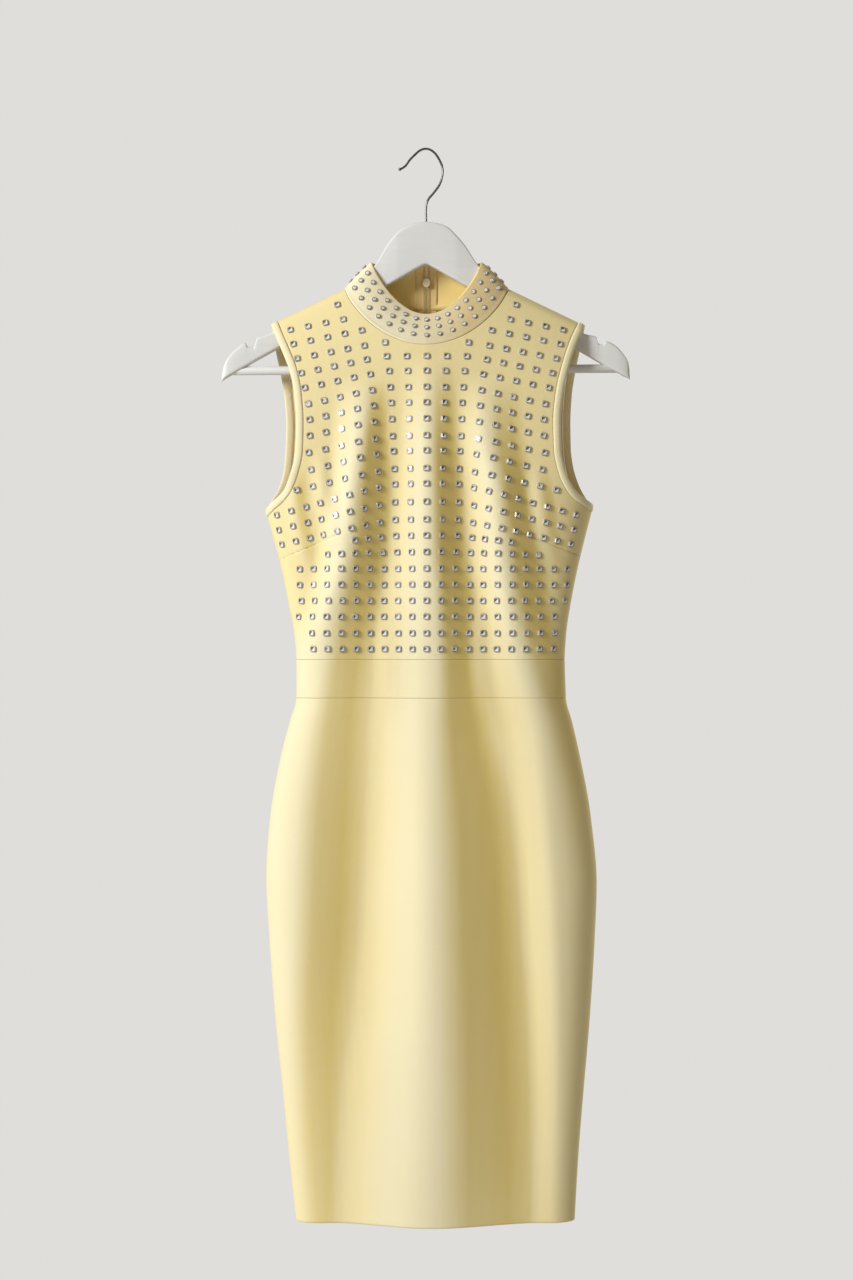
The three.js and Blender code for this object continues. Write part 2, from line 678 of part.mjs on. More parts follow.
add("skirt_front", panel(levelGrid(-1, 0, skirtHeights)));
add("skirt_back_left", panel(skirtBack[-1]));
add("skirt_back_right", panel(skirtBack[1]));

// Collar: a standing band from one side of the zip round the front to the other
function collarPoint(angle, share) {
  const seam = neckSeam(Math.abs(angle));
  const side = Math.sign(angle);
  const c = Math.cos(angle);
  const face = c > 0 ? -1 : 1;
  const lowX = Math.abs(seam.x) < COLLAR_OPENING && c < 0 ? side * COLLAR_OPENING : side * seam.x;
  const low = onCloth(face, lowX, seam.z);
  if (Math.abs(c) < 1e-6) low.y = 0;
  const topDrop = c > 0 ? COLLAR_FRONT_DROP : COLLAR_BACK_DROP;
  const topX = COLLAR_HALF * Math.sin(angle);
  const high = vector(
    Math.abs(topX) < COLLAR_OPENING && c < 0 ? side * COLLAR_OPENING : topX,
    COLLAR_MIDDLE - COLLAR_DEPTH * Math.sign(c) * Math.abs(c) ** 0.5,
    COLLAR_SIDE - topDrop * Math.abs(c) ** 1.8,
  );
  return low.lerp(high, share);
}
function collarOut(angle, share) {
  const a = Math.min(Math.max(angle, -Math.PI + 0.03), Math.PI - 0.03);
  const around = collarPoint(a + 0.01, share).sub(collarPoint(a - 0.01, share));
  const up = collarPoint(a, 1).sub(collarPoint(a, 0));
  return around.cross(up).normalize();
}
const backAngles = backShares.filter((share) => share <= 0.5).map((share) => Math.PI * (1 - share));
const frontAngles = frontShares.filter((share) => Math.abs(share) < 0.5).map((share) => Math.PI * share);
const collarAngles = [...backAngles.map((a) => -a), ...frontAngles, ...[...backAngles].reverse()];
const collarShares = [0, 0.07, 0.36, 0.68, 1];
const collarOuter = [];
const collarInner = [];
for (const share of collarShares) {
  const outerRow = [];
  const innerRow = [];
  collarAngles.forEach((angle, i) => {
    let place = collarPoint(angle, share);
    if (i === 1 || i === collarAngles.length - 2) {
      const end = Math.sign(angle);
      place = onCloth(1, end * 12, neckSeam(Math.abs(angle)).z);
      const top = collarPoint(Math.PI * 0.93 * end, 1);
      place.lerp(top.setX(end * 12), share);
    }
    const out = collarOut(angle, share);
    const bulge = 4 * share * (1 - share);
    place.addScaledVector(out, bulge);
    if (share === 0) {
      const face = Math.cos(angle) > 0 ? -1 : 1;
      const cloth = outOfCloth(face, place.x, place.z);
      const seam = collarPoint(angle, 0.01).sub(collarPoint(angle, 0)).normalize();
      const away = seam.addScaledVector(cloth, -seam.dot(cloth)).normalize();
      outerRow.push(place.clone().addScaledVector(away, SEAM));
      innerRow.push(place.clone().addScaledVector(away, SEAM).addScaledVector(cloth, -CLOTH));
    } else {
      outerRow.push(place);
      innerRow.push(place.clone().addScaledVector(out, -CLOTH));
    }
  });
  collarOuter.push(outerRow);
  collarInner.push(innerRow);
}
// Lengths round the collar, by angle
const COLLAR_STEPS = 120;
const collarLengths = [0];
for (let i = 1; i <= COLLAR_STEPS; i += 1) {
  const at = (k) => collarPoint((k * Math.PI) / COLLAR_STEPS, 0.4);
  collarLengths.push(collarLengths[i - 1] + at(i).distanceTo(at(i - 1)));
}
function collarLength(angle) {
  const part = (Math.min(Math.abs(angle), Math.PI) / Math.PI) * COLLAR_STEPS;
  const i = Math.min(COLLAR_STEPS - 1, Math.floor(part));
  return Math.sign(angle) * between(collarLengths[i], collarLengths[i + 1], part - i);
}
function collarAngle(length) {
  let i = 0;
  while (i < COLLAR_STEPS - 1 && collarLengths[i + 1] < Math.abs(length)) i += 1;
  const part = (Math.abs(length) - collarLengths[i]) / (collarLengths[i + 1] - collarLengths[i]);
  return (Math.sign(length) * (i + part) * Math.PI) / COLLAR_STEPS;
}
const collarSpot = (length, share) => {
  const angle = collarAngle(length);
  const out = collarOut(angle, share);
  const at = collarPoint(angle, share).addScaledVector(out, 4 * share * (1 - share));
  return { u: length, v: share * 40, at, out };
};
const collarStuds = [];
const collarCentres = [];
for (const share of COLLAR_STUD_ROWS) {
  for (let k = -COLLAR_STUDS_EACH_SIDE; k <= COLLAR_STUDS_EACH_SIDE; k += 1) {
    const centre = collarSpot(k * COLLAR_STUD_PITCH, share);
    collarCentres.push(centre);
    collarStuds.push(...studPoints((a, b, height) => {
      const spot = collarSpot(k * COLLAR_STUD_PITCH + a, share + b / 40);
      return { ...spot, at: spot.at.addScaledVector(centre.out, height) };
    }));
  }
}
const collarRows = collarShares.map((share, i) =>
  collarAngles.map((angle, j) => ({
    u: collarLength(angle),
    v: share * 40,
    outer: collarOuter[i][j],
    inner: collarInner[i][j],
  })),
);
const collarTop = collarRows.length - 1;
const collarEnd = collarAngles.length - 1;
const collarOutline = [
  ...collarRows[0],
  ...collarRows.slice(1, collarTop).map((row) => row[collarEnd]),
  ...[...collarRows[collarTop]].reverse(),
  ...collarRows.slice(1, collarTop).map((row) => row[0]).reverse(),
];
const collarFill = collarRows
  .slice(1, collarTop)
  .flatMap((row) => row.slice(1, collarEnd))
  .filter((p) => collarCentres.every((c) => c.at.distanceTo(p.outer) > 9));
add("collar", studdedWall(
  collarOutline,
  [...collarStuds, ...collarFill.map((p) => ({ ...p, at: p.outer }))],
  [
    ...collarCentres.map((p) => ({ ...p, at: p.at.clone().addScaledVector(p.out, -CLOTH) })),
    ...collarFill.map((p) => ({ ...p, at: p.inner })),
  ],
));

// Armhole bands: a rounded binding all round each opening
const BAND_SECTION = table(["across", "above"], [
  [SEAM + 0.06, -1.9],
  [SEAM + 0.06, 0.4],
  [1.7, 0.9],
  [BAND_WIDE - 2, 0.9],
  [BAND_WIDE, -0.6],
  [BAND_WIDE - 1.2, -2.1],
  [2, -2.3],
]);
function armholeBand(side) {
  const column = side < 0 ? 0 : FRONT_COLUMNS;
  const first = bodiceRows.findIndex((row) => row.share === 0);
  const front = frontGrid.slice(first).map((row) => row[column]);
  const back = backGrid[side].slice(first).map((row) => row[BACK_COLUMNS - 1]);
  const ring = [...front, ...back.slice(1, -1).reverse()].map((p) => ({ at: p.at.clone(), out: p.out }));
  ring[0].at.y = 0;
  ring[front.length - 1].at.y = 0;
  const opening = vector(side, 0, 0.6);
  const sections = ring.map((p, i) => {
    const before = ring[(i + ring.length - 1) % ring.length].at;
    const after = ring[(i + 1) % ring.length].at;
    const along = after.clone().sub(before).normalize();
    const across = along.clone().cross(p.out).normalize();
    if (across.dot(opening) < 0) across.negate();
    return BAND_SECTION.map((s) =>
      p.at.clone().addScaledVector(across, s.across).addScaledVector(p.out, s.above),
    );
  });
  return loft(sections, true);
}
add("armhole_band_left", armholeBand(-1));
add("armhole_band_right", armholeBand(1));

// Zip: two tapes with their coils, on the inside of the centre back
function zipTape(side) {
  const pair = ([a, b]) => ({ a: a.at, b: b.at, outA: a.out, outB: b.out });
  const fromCollar = (row, part = 0) => {
    const spot = (j) => {
      const column = side < 0 ? j : collarEnd - j;
      const outer = collarOuter[row][column].clone();
      const inner = collarInner[row][column].clone();
      if (part) {
        outer.lerp(collarOuter[row + 1][column], part);
        inner.lerp(collarInner[row + 1][column], part);
      }
      const out = outer.clone().sub(inner).normalize();
      return { at: outer, out };
    };
    return pair([spot(0), spot(1)]);
  };
  const panels = [
    ...skirtBack[side].slice(1, 4).reverse(),
    waistBack[side][2],
    waistBack[side][1],
    ...backGrid[side].filter((row, i) => i % 2 === 0 && row[0].at.z < -172),
    backGrid[side][backGrid[side].length - 1],
  ];
  const slit = 1.6;
  const stations = [
    ...panels.map((row) => ({ ...pair(row), edge: SEAM / 2 })),
    { ...fromCollar(1), edge: SEAM / 2 },
    { ...fromCollar(1, 0.5), edge: SEAM / 2 },
    { ...fromCollar(1, 0.6), edge: slit },
    { ...fromCollar(2), edge: slit },
    { ...fromCollar(3), edge: slit },
    { ...fromCollar(3, 0.85), edge: slit },
  ];
  const sections = stations.map(({ a, b, outA, outB, edge }) => {
    const spot = (x, depth) => {
      const t = (x - Math.abs(a.x)) / (Math.abs(b.x) - Math.abs(a.x));
      const out = outA.clone().lerp(outB, t).normalize();
      return a.clone().lerp(b, t).addScaledVector(out, -depth).setX(side * x);
    };
    return [
      spot(edge, 2.5),
      spot(ZIP_HALF, 2.5),
      spot(ZIP_HALF, 3.3),
      spot(3.7, 3.3),
      spot(3.7, 4.2),
      spot(edge, 4.2),
    ];
  });
  return loft(sections);
}
add("zip_tape_left", zipTape(-1));
add("zip_tape_right", zipTape(1));

// Slider inside the collar, with a bridge that comes out between the collar's ends, and its tab
const zipY = collarOuter[3][0].y;
const zipZ = collarOuter[3][0].z;
const box = (x0, x1, y0, y1, z0, z1) =>
  wasm.Manifold.cube([x1 - x0, y1 - y0, z1 - z0]).translate([x0, y0, z0]);
const slider = wasm.Manifold.union([
  box(-3.8, 3.8, zipY - 7, zipY - 5.4, zipZ - 5, zipZ + 4.5),
  box(-0.9, 0.9, zipY - 5.6, zipY + 1.1, zipZ - 3.5, zipZ + 3.5),
  box(-0.9, 0.9, zipY + 0.9, zipY + 4.4, zipZ - 4.6, zipZ + 4.6),
]).subtract(box(-2, 2, zipY + 1.4, zipY + 3.2, zipZ - 3.2, zipZ + 3.2));
add("zip_slider", fromSolid(slider));
const hingeY = zipY + 2.3;
const hingeZ = zipZ - 2.4;
const tab = wasm.Manifold.union([
  box(-2.6, 2.6, hingeY - 0.5, hingeY + 0.5, hingeZ - 21, hingeZ - 3),
  box(-2.6, -1.25, hingeY - 0.5, hingeY + 0.5, hingeZ - 3.2, hingeZ + 0.5),
  box(1.25, 2.6, hingeY - 0.5, hingeY + 0.5, hingeZ - 3.2, hingeZ + 0.5),
  wasm.Manifold.cylinder(5.2, 0.6, 0.6, 16, true).rotate([0, 90, 0]).translate([0, hingeY, hingeZ]),
]);
add("zip_pull_tab", fromSolid(tab));

// Hanger: a flat wooden board with rounded edges, a trouser bar and a wire hook
function boardSection(row) {
  const half = row.thick / 2;
  const high = Math.min(5.5, (row.top - row.bottom) / 2.2);
  const low = Math.min(2.5, (row.top - row.bottom) / 4);
  return [
    [-half * 0.4, row.top],
    [half * 0.4, row.top],
    [half, row.top - high],
    [half, row.bottom + low],
    [half * 0.6, row.bottom],
    [-half * 0.6, row.bottom],
    [-half, row.bottom + low],
    [-half, row.top - high],
  ].map(([y, z]) => vector(row.x, y, z));
}
const barAt = { left: -203, right: 200, leftZ: -232, rightZ: -229.5 };
function rod(x0, z0, x1, z1, radius, sides) {
  const along = vector(x1 - x0, 0, z1 - z0).normalize();
  const up = vector(-along.z, 0, along.x);
  const ring = (x, z) =>
    Array.from({ length: sides }, (_, i) => {
      const a = (2 * Math.PI * (i + 0.5)) / sides;
      return vector(x, radius * Math.cos(a), z).addScaledVector(up, radius * Math.sin(a));
    });
  return loft([ring(x0, z0), ring(x1, z1)]);
}
const board = asSolid(loft(BOARD.map(boardSection)))
  .subtract(asSolid(rod(barAt.left - 3, barAt.leftZ, barAt.right + 3, barAt.rightZ, BAR / 2 + SEAM + 0.1, 14)))
  .subtract(
    wasm.Manifold.cylinder(20, WIRE / 2 + SEAM, WIRE / 2 + SEAM, 12).translate([-0.2, 0, -90]),
  );
add("hanger_body", fromSolid(board));
add("hanger_bar", rod(barAt.left, barAt.leftZ, barAt.right, barAt.rightZ, BAR / 2, 14));

function hook() {
  const curve = new THREE.CatmullRomCurve3(HOOK.map((p) => vector(p.x, 0, p.z)), false, "centripetal");
  const count = 30;
  const sides = 8;
  const sections = [];
  for (let i = 0; i <= count; i += 1) {
    const t = i / count;
    const place = curve.getPointAt(t);
    const along = curve.getTangentAt(t);
    const up = vector(-along.z, 0, along.x);
    const radius = (WIRE / 2) * (i === count ? 1.5 : 1);
    sections.push(
      Array.from({ length: sides }, (_, j) => {
        const a = (2 * Math.PI * j) / sides;
        return place.clone().addScaledVector(up, radius * Math.cos(a)).add(vector(0, radius * Math.sin(a), 0));
      }),
    );
  }
  return loft(sections);
}
add("hanger_hook", hook());

export default dress;
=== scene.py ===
# A sleeveless bodycon dress in pale yellow knit, studded on its bodice and collar, on a white hanger.
# Tables are in millimetres, in the frame of the solids: Z up, the front faces -Y, and the hook's crown
# is at 0, 0, 0.
import math
import bmesh
import bpy
import numpy as np
from mathutils import Matrix, Vector


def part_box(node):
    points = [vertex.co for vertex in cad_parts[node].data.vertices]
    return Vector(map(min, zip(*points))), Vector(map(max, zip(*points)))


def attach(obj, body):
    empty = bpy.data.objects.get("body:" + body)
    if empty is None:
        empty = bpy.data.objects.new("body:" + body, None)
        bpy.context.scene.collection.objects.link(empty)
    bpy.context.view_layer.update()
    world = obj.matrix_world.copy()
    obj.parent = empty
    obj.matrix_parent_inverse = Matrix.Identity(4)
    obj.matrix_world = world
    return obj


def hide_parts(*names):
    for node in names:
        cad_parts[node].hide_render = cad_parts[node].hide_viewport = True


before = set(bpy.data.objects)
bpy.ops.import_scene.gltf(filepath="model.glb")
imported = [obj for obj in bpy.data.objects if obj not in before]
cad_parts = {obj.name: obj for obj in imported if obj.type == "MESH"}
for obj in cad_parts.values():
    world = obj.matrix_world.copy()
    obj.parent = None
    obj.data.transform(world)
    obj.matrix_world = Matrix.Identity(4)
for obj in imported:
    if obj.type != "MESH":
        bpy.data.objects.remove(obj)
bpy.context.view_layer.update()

# Bodice front
# One panel of heavy double knit, cut from the neck and shoulders to the waist. Two bust darts shape it.
# It hangs from the shoulders in long soft folds and is sewn to the collar, bands, backs and waistband.
MM = 0.001
SEAM = 0.05
CLOTH = 2
WAIST_TOP = -535
NECK_HALF = 86
NECK_SIDE = -146
NECK_FRONT_DROP = 62
NECK_BACK_DROP = 17
SHOULDER_SLOPE = 0.481
SHOULDER_ROLL = 9
SHOULDER_EASE = 62
SHOULDER_END = 157.6
EDGE_POWER = 7
NECK_POWER = 1.5
UNDERARM = 0.42
DRESS_MIDDLE = 3
# height, half width, shift, depth of the front, depth of the back
BODY = [
    [-100, 212, 0.5, 40, 28],
    [-184, 206, 0.8, 42, 29],
    [-250, 196, 1.2, 42, 29],
    [-300, 187, 1.6, 41, 28],
    [-350, 178, 2.0, 37, 27],
    [-376, 172, 2.4, 34, 27],
    [-406, 164, 2.8, 31, 26],
    [-432, 157.2, 3.2, 28, 25],
    [-470, 149.3, 3.3, 25, 24],
    [-512, 142.4, 4.0, 22, 23],
    [-535, 141, 4.2, 21, 22],
    [-575, 141.6, 4.8, 21, 22],
    [-600, 148.2, 4.6, 21, 23],
    [-640, 157.9, 4.0, 22, 24],
    [-701, 168.5, 4.2, 22, 26],
    [-766, 173.5, 5.2, 22, 27],
    [-830, 170.7, 5.8, 21, 26],
    [-912, 165.1, 6.3, 19, 24],
    [-990, 157.7, 7.0, 17, 22],
    [-1047, 152.6, 7.5, 16, 21],
    [-1093, 148.8, 8.4, 15, 20],
    [-1123.5, 146.3, 9.3, 15, 20],
]
# Each fold: height, place across, how high its crest stands, its spread to the left and to the right
FRONT_FOLDS = [
    [
        [-220, 4, 0, 34, 32],
        [-300, 3, 9, 34, 32],
        [-360, 4, 14, 40, 36],
        [-420, 5, 16, 46, 39],
        [-477, 8, 17, 58, 46],
        [-545, 10, 15, 68, 50],
        [-611, 7, 19, 70, 66],
        [-703, 8, 25, 74, 90],
        [-796, 9, 28, 80, 100],
        [-890, 10, 29, 88, 106],
        [-985, 10, 29, 103, 112],
        [-1124, 6, 27, 110, 124],
    ],
    [
        [-240, -64, 0, 34, 28],
        [-300, -67, 10, 34, 30],
        [-360, -75, 15, 30, 42],
        [-420, -82, 16, 34, 46],
        [-477, -97, 14, 34, 54],
        [-545, -112, 11, 90, 58],
        [-611, -125, 13, 130, 68],
        [-703, -136, 16, 170, 78],
        [-796, -141, 17, 180, 80],
        [-890, -144, 14, 170, 72],
        [-985, -141, 10, 130, 62],
        [-1124, -130, 6, 80, 48],
    ],
    [
        [-240, 60, 0, 30, 40],
        [-300, 62, 8, 30, 42],
        [-360, 73, 14, 34, 40],
        [-420, 79, 15, 36, 48],
        [-477, 87, 13, 34, 46],
        [-545, 104, 9, 44, 48],
        [-611, 122, 9, 46, 56],
        [-703, 130, 10, 42, 90],
        [-796, 137, 11, 42, 110],
        [-890, 140, 10, 38, 100],
        [-985, 142, 8, 36, 80],
        [-1124, 139, 5, 32, 50],
    ],
]
BACK_FOLDS = [
    [
        [-235, -62, 0, 44, 34],
        [-400, -64, 8, 46, 40],
        [-535, -58, 7, 44, 40],
        [-700, -64, 11, 50, 46],
        [-900, -70, 16, 56, 52],
        [-1124, -72, 15, 60, 54],
    ],
    [
        [-245, 66, 0, 36, 44],
        [-400, 66, 7, 42, 48],
        [-535, 63, 6, 42, 44],
        [-700, 70, 10, 48, 52],
        [-900, 78, 14, 58, 56],
        [-1124, 82, 16, 62, 54],
    ],
    [
        [-600, 2, 0, 14, 14],
        [-800, 4, 3, 40, 40],
        [-1124, 6, 9, 52, 50],
    ],
]
# Small creases below the underarms and at the waist, in the same terms
FRONT_CREASES = [
    [
        [-331, -137, 0, 14, 14],
        [-367.5, -138, 3, 14, 16],
        [-409.5, -132, 2.5, 14, 16],
        [-446, -124, 0, 14, 14],
    ],
    [
        [-315, -110, 0, 16, 16],
        [-367.5, -105.5, 4, 16, 18],
        [-399, -101, 3, 16, 18],
        [-430.5, -99, 0, 16, 16],
    ],
    [
        [-331, 112, 0, 16, 16],
        [-373, 118, 3, 16, 18],
        [-409.5, 124, 2, 16, 18],
        [-446, 132, 0, 16, 16],
    ],
    [
        [-480, -40, 0, 14, 16],
        [-520, -42, 1.2, 15, 18],
        [-560, -41, 0.8, 16, 18],
        [-620, -46, 0, 18, 20],
    ],
    [[-470, 56, 0, 15, 14], [-512, 55, 1.4, 16, 15], [-556, 58, 1, 17, 16], [-604, 62, 0, 18, 17]],
]
BACK_CREASES = [
    [
        [-345, -122, 0, 15, 17],
        [-384, -118, 3.2, 15, 18],
        [-424, -110, 1.8, 16, 18],
        [-462, -105, 0, 16, 16],
    ],
    [
        [-338, 116, 0, 17, 15],
        [-379, 121, 2.6, 18, 15],
        [-418, 127, 2, 17, 14],
        [-455, 131, 0, 16, 14],
    ],
    [
        [-446, -24, 0, 12, 14],
        [-505, -26, 2, 14, 16],
        [-560, -22, 1.6, 15, 16],
        [-622, -27, 0, 16, 16],
    ],
    [
        [-470, 31, 0, 14, 12],
        [-524, 29, 1.6, 16, 14],
        [-574, 33, 1.4, 16, 14],
        [-640, 30, 0, 17, 15],
    ],
]
# Edges round the armholes: share of the way up, then the left edge's x and z and the right edge's
FRONT_ARMHOLE = [
    [0, -166, -386, 170.8, -380.6],
    [0.055, -159.4, -379.4, 163.6, -375.2],
    [0.11, -150, -372, 153.2, -368.4],
    [0.18, -139.7, -359.5, 143.3, -356.5],
    [0.27, -132, -340.5, 135.3, -338],
    [0.36, -128, -321, 131.6, -319],
    [0.48, -127.3, -293.5, 131, -291.5],
    [0.6, -129.2, -266.5, 133.6, -265],
    [0.72, -134.2, -240, 139.4, -239],
    [0.82, -141.8, -218.5, 145.6, -217.5],
    [0.92, -149.8, -197.5, 152.9, -196.8],
    [1, -156, -179.7, 159.3, -181.3],
]
BACK_ARMHOLE = [
    [0, -166, -386, 170.8, -380.6],
    [0.09, -157.2, -371.5, 161.2, -368],
    [0.17, -148.6, -356.5, 153.2, -352.5],
    [0.27, -143, -336, 147, -332],
    [0.36, -141.2, -316.5, 144.7, -314],
    [0.49, -140.3, -289, 144.2, -286.5],
    [0.62, -142.2, -261, 145.6, -259],
    [0.75, -146.6, -233, 149.6, -231.5],
    [0.85, -150.8, -212, 153.5, -211.5],
    [1, -156, -179.7, 159.3, -181.3],
]
DARTS = [[(-153.5, -431.0), (-84.5, -402.5)], [(157.5, -425.5), (89.5, -400.5)]]
DART_DEEP = 1.0
DART_CUT = 1.1
# The shares of a fold's side that bend at its crest and at its foot
CREST_ROUND = 0.3
FOOT_ROUND = 0.36
FOLD_RUN = 1 - CREST_ROUND / 2 - FOOT_ROUND / 2


def smooth(rows, column, at):
    """Smooth values between the rows of a table, with no overshoot."""
    rows = np.array(rows, float)
    rows = rows[np.argsort(rows[:, 0])]
    x = rows[:, 0]
    y = rows[:, column]
    at = np.clip(at, x[0], x[-1])
    step = np.diff(x)
    slope = np.diff(y) / step
    a = 2 * step[1:] + step[:-1]
    b = step[1:] + 2 * step[:-1]
    same = slope[:-1] * slope[1:] > 0
    before = np.where(same, slope[:-1], 1)
    after = np.where(same, slope[1:], 1)
    tangent = np.concatenate([slope[:1], np.where(same, (a + b) / (a / before + b / after), 0), slope[-1:]])
    i = np.clip(np.searchsorted(x, at) - 1, 0, len(step) - 1)
    u = (at - x[i]) / step[i]
    value = (1 + 2 * u) * (1 - u) ** 2 * y[i] + u * (1 - u) ** 2 * step[i] * tangent[i]
    return value + u * u * (3 - 2 * u) * y[i + 1] + u * u * (u - 1) * step[i] * tangent[i + 1]


def between(a, b, t):
    return a + (b - a) * t


def shoulder(x):
    return NECK_SIDE - (np.abs(x) - NECK_HALF) * SHOULDER_SLOPE


def side_edge(side, z):
    return smooth(BODY, 2, z) + side * smooth(BODY, 1, z)


def fold_side(t):
    """A fold's side from its crest, 0, to its foot, 1: round at both ends and straight between them."""
    t = np.clip(t, 0, 1)
    crest = t * t / (2 * CREST_ROUND)
    straight = t - CREST_ROUND / 2
    foot = FOLD_RUN - (1 - t) ** 2 / (2 * FOOT_ROUND)
    fallen = np.where(t < CREST_ROUND, crest, np.where(t < 1 - FOOT_ROUND, straight, foot))
    return 1 - fallen / FOLD_RUN


def fold_height(face, x, z):
    """How high the folds and creases stand on the front or the back."""
    high = np.zeros(np.broadcast(x, z).shape)
    for fold in FRONT_FOLDS + FRONT_CREASES if face < 0 else BACK_FOLDS + BACK_CREASES:
        away = x - smooth(fold, 1, z)
        reach = np.where(away < 0, smooth(fold, 3, z), smooth(fold, 4, z))
        high = high + smooth(fold, 2, z) * fold_side(np.abs(away) / reach)
    return high


def stand_out(face, x, z):
    """How far the front, face -1, or the back, face 1, stands out from the side seams."""
    across = np.minimum(1, np.abs(x - smooth(BODY, 2, z)) / smooth(BODY, 1, z))
    rounded = np.sqrt(np.maximum(0, 1 - across ** EDGE_POWER))
    below = np.maximum(0, shoulder(x) - z) / math.hypot(1, SHOULDER_SLOPE)
    roll = np.sqrt(1 - (1 - np.minimum(1, below / SHOULDER_ROLL)) ** 2)
    depth = smooth(BODY, 3 if face < 0 else 4, z)
    out = SHOULDER_ROLL * roll + (depth - SHOULDER_ROLL) * (1 - np.exp(-below / SHOULDER_EASE))
    return (out + fold_height(face, x, z)) * rounded


def on_cloth(face, x, z):
    x, z = np.broadcast_arrays(np.asarray(x, float), np.asarray(z, float))
    return np.stack([x, face * (SEAM / 2 + stand_out(face, x, z)), z], -1)


RUN_X = np.arange(-200, 201)
RUN_Z = np.arange(-1130, -139, 5)


def level_runs(face):
    """A table of how far each place lies from the centre, measured level along the cloth."""
    out = stand_out(face, RUN_X[None], RUN_Z[:, None])
    run = np.cumsum(np.hypot(np.diff(RUN_X)[None], np.diff(out, axis=1)), axis=1)
    run = np.concatenate([np.zeros((len(RUN_Z), 1)), run], 1)
    centre = len(RUN_X) // 2
    return run - run[:, centre:centre + 1]


RUNS = {-1: level_runs(-1), 1: level_runs(1)}


def knit_lengths(face, x, z):
    """Lengths along the knit's courses and wales, from the centre and from the hem."""
    i = (z - RUN_Z[0]) / (RUN_Z[1] - RUN_Z[0])
    j = x - RUN_X[0]
    row = np.clip(i.astype(int), 0, len(RUN_Z) - 2)
    column = np.clip(j.astype(int), 0, len(RUN_X) - 2)
    u = j - column
    low = between(RUNS[face][row, column], RUNS[face][row, column + 1], u)
    high = between(RUNS[face][row + 1, column], RUNS[face][row + 1, column + 1], u)
    return between(low, high, i - row), z - RUN_Z[0]


def unit(v):
    return v / np.maximum(np.linalg.norm(v, axis=-1, keepdims=True), 1e-9)


def out_of_cloth(face, x, z):
    """The direction out of the cloth. Along the shoulder and the side seams both faces share one."""
    x, z = np.broadcast_arrays(np.asarray(x, float), np.asarray(z, float))
    below = (shoulder(x) - z) / math.hypot(1, SHOULDER_SLOPE)
    shift = smooth(BODY, 2, z)
    inside = smooth(BODY, 1, z) - np.abs(x - shift)
    h = np.clip(np.minimum(below / 3, inside / 3), 0.005, 0.4)
    along_x = (stand_out(face, x + h, z) - stand_out(face, x - h, z)) / (2 * h)
    along_z = (stand_out(face, x, z + h) - stand_out(face, x, z - h)) / (2 * h)
    out = unit(np.stack([-along_x, np.full_like(x, face), -along_z], -1))
    level = np.zeros_like(x)
    at_shoulder = unit(np.stack([np.sign(x) * SHOULDER_SLOPE, level, level + 1], -1))
    at_side = np.stack([np.sign(x - shift), level, level], -1)
    out = np.where((inside < 0.02)[..., None], at_side, out)
    return np.where((below < 0.02)[..., None], at_shoulder, out)


def bodice_place(face, along, share):
    """A place on a bodice panel. along runs from the centre, 0, to the side or armhole, 1 or -1."""
    edges = FRONT_ARMHOLE if face < 0 else BACK_ARMHOLE
    up_share = np.maximum(share, 0)
    ends = []
    for side, column in ((-1, 1), (1, 3)):
        z = between(smooth(edges, column + 1, up_share), WAIST_TOP + SEAM / 2, np.maximum(-share, 0))
        first = side_edge(side, smooth(edges, column + 1, 0.0)) - smooth(edges, column, 0.0)
        x = smooth(edges, column, up_share) + first * np.clip(1 - up_share / 0.05, 0, 1)
        ends.append((np.where(share <= 0, side_edge(side, z), x), z))
    (left_x, left_z), (right_x, right_z) = ends
    t = np.abs(along)
    start = smooth(edges, 4, 0.0)
    up = np.clip((right_z - start) / (smooth(edges, 4, 1.0) - start), 0, 1)
    eased = up * up * (3 - 2 * up)
    at_shoulder = between(NECK_HALF, SHOULDER_END, 2 * t - 1)
    top_x = np.where(t < 0.5, NECK_HALF * np.sin(math.pi * t), at_shoulder)
    spread = between(between(t, np.sin(math.pi * t / 2), 0.95), top_x / SHOULDER_END, eased)
    middle = (left_x + right_x) / 2
    x = middle * (1 - eased) + np.sign(along) * spread * (right_x - left_x) / 2
    x = x + eased * middle * np.maximum(0, 2 * t - 1)
    drop = NECK_FRONT_DROP if face < 0 else NECK_BACK_DROP
    neck_z = NECK_SIDE - drop * np.abs(np.cos(math.pi * np.minimum(t, 0.5))) ** NECK_POWER
    top_z = np.where(t < 0.5, neck_z, shoulder(x))
    level = between(left_z, right_z, (along + 1) / 2)
    level_end = between(shoulder(edges[-1][1]), shoulder(edges[-1][3]), (along + 1) / 2)
    return x, level + (top_z - level_end) * up ** 1.35


# Extra grid lines beside a piece's edges, for the roll into its seam
EDGE_LINES = [0, 0.35, 0.9, 1.8]
EDGE_ROLL = 1.6


def lines(count, low=EDGE_LINES, high=EDGE_LINES):
    """Where the lines of a grid lie on a length: each is a share of the length and an offset in mm."""
    made = [(0, v) for v in low]
    for k in range(1, count):
        made.append((k / count, between(low[-1], -high[-1], k / count)))
    return np.array(made + [(1, -v) for v in reversed(high)])


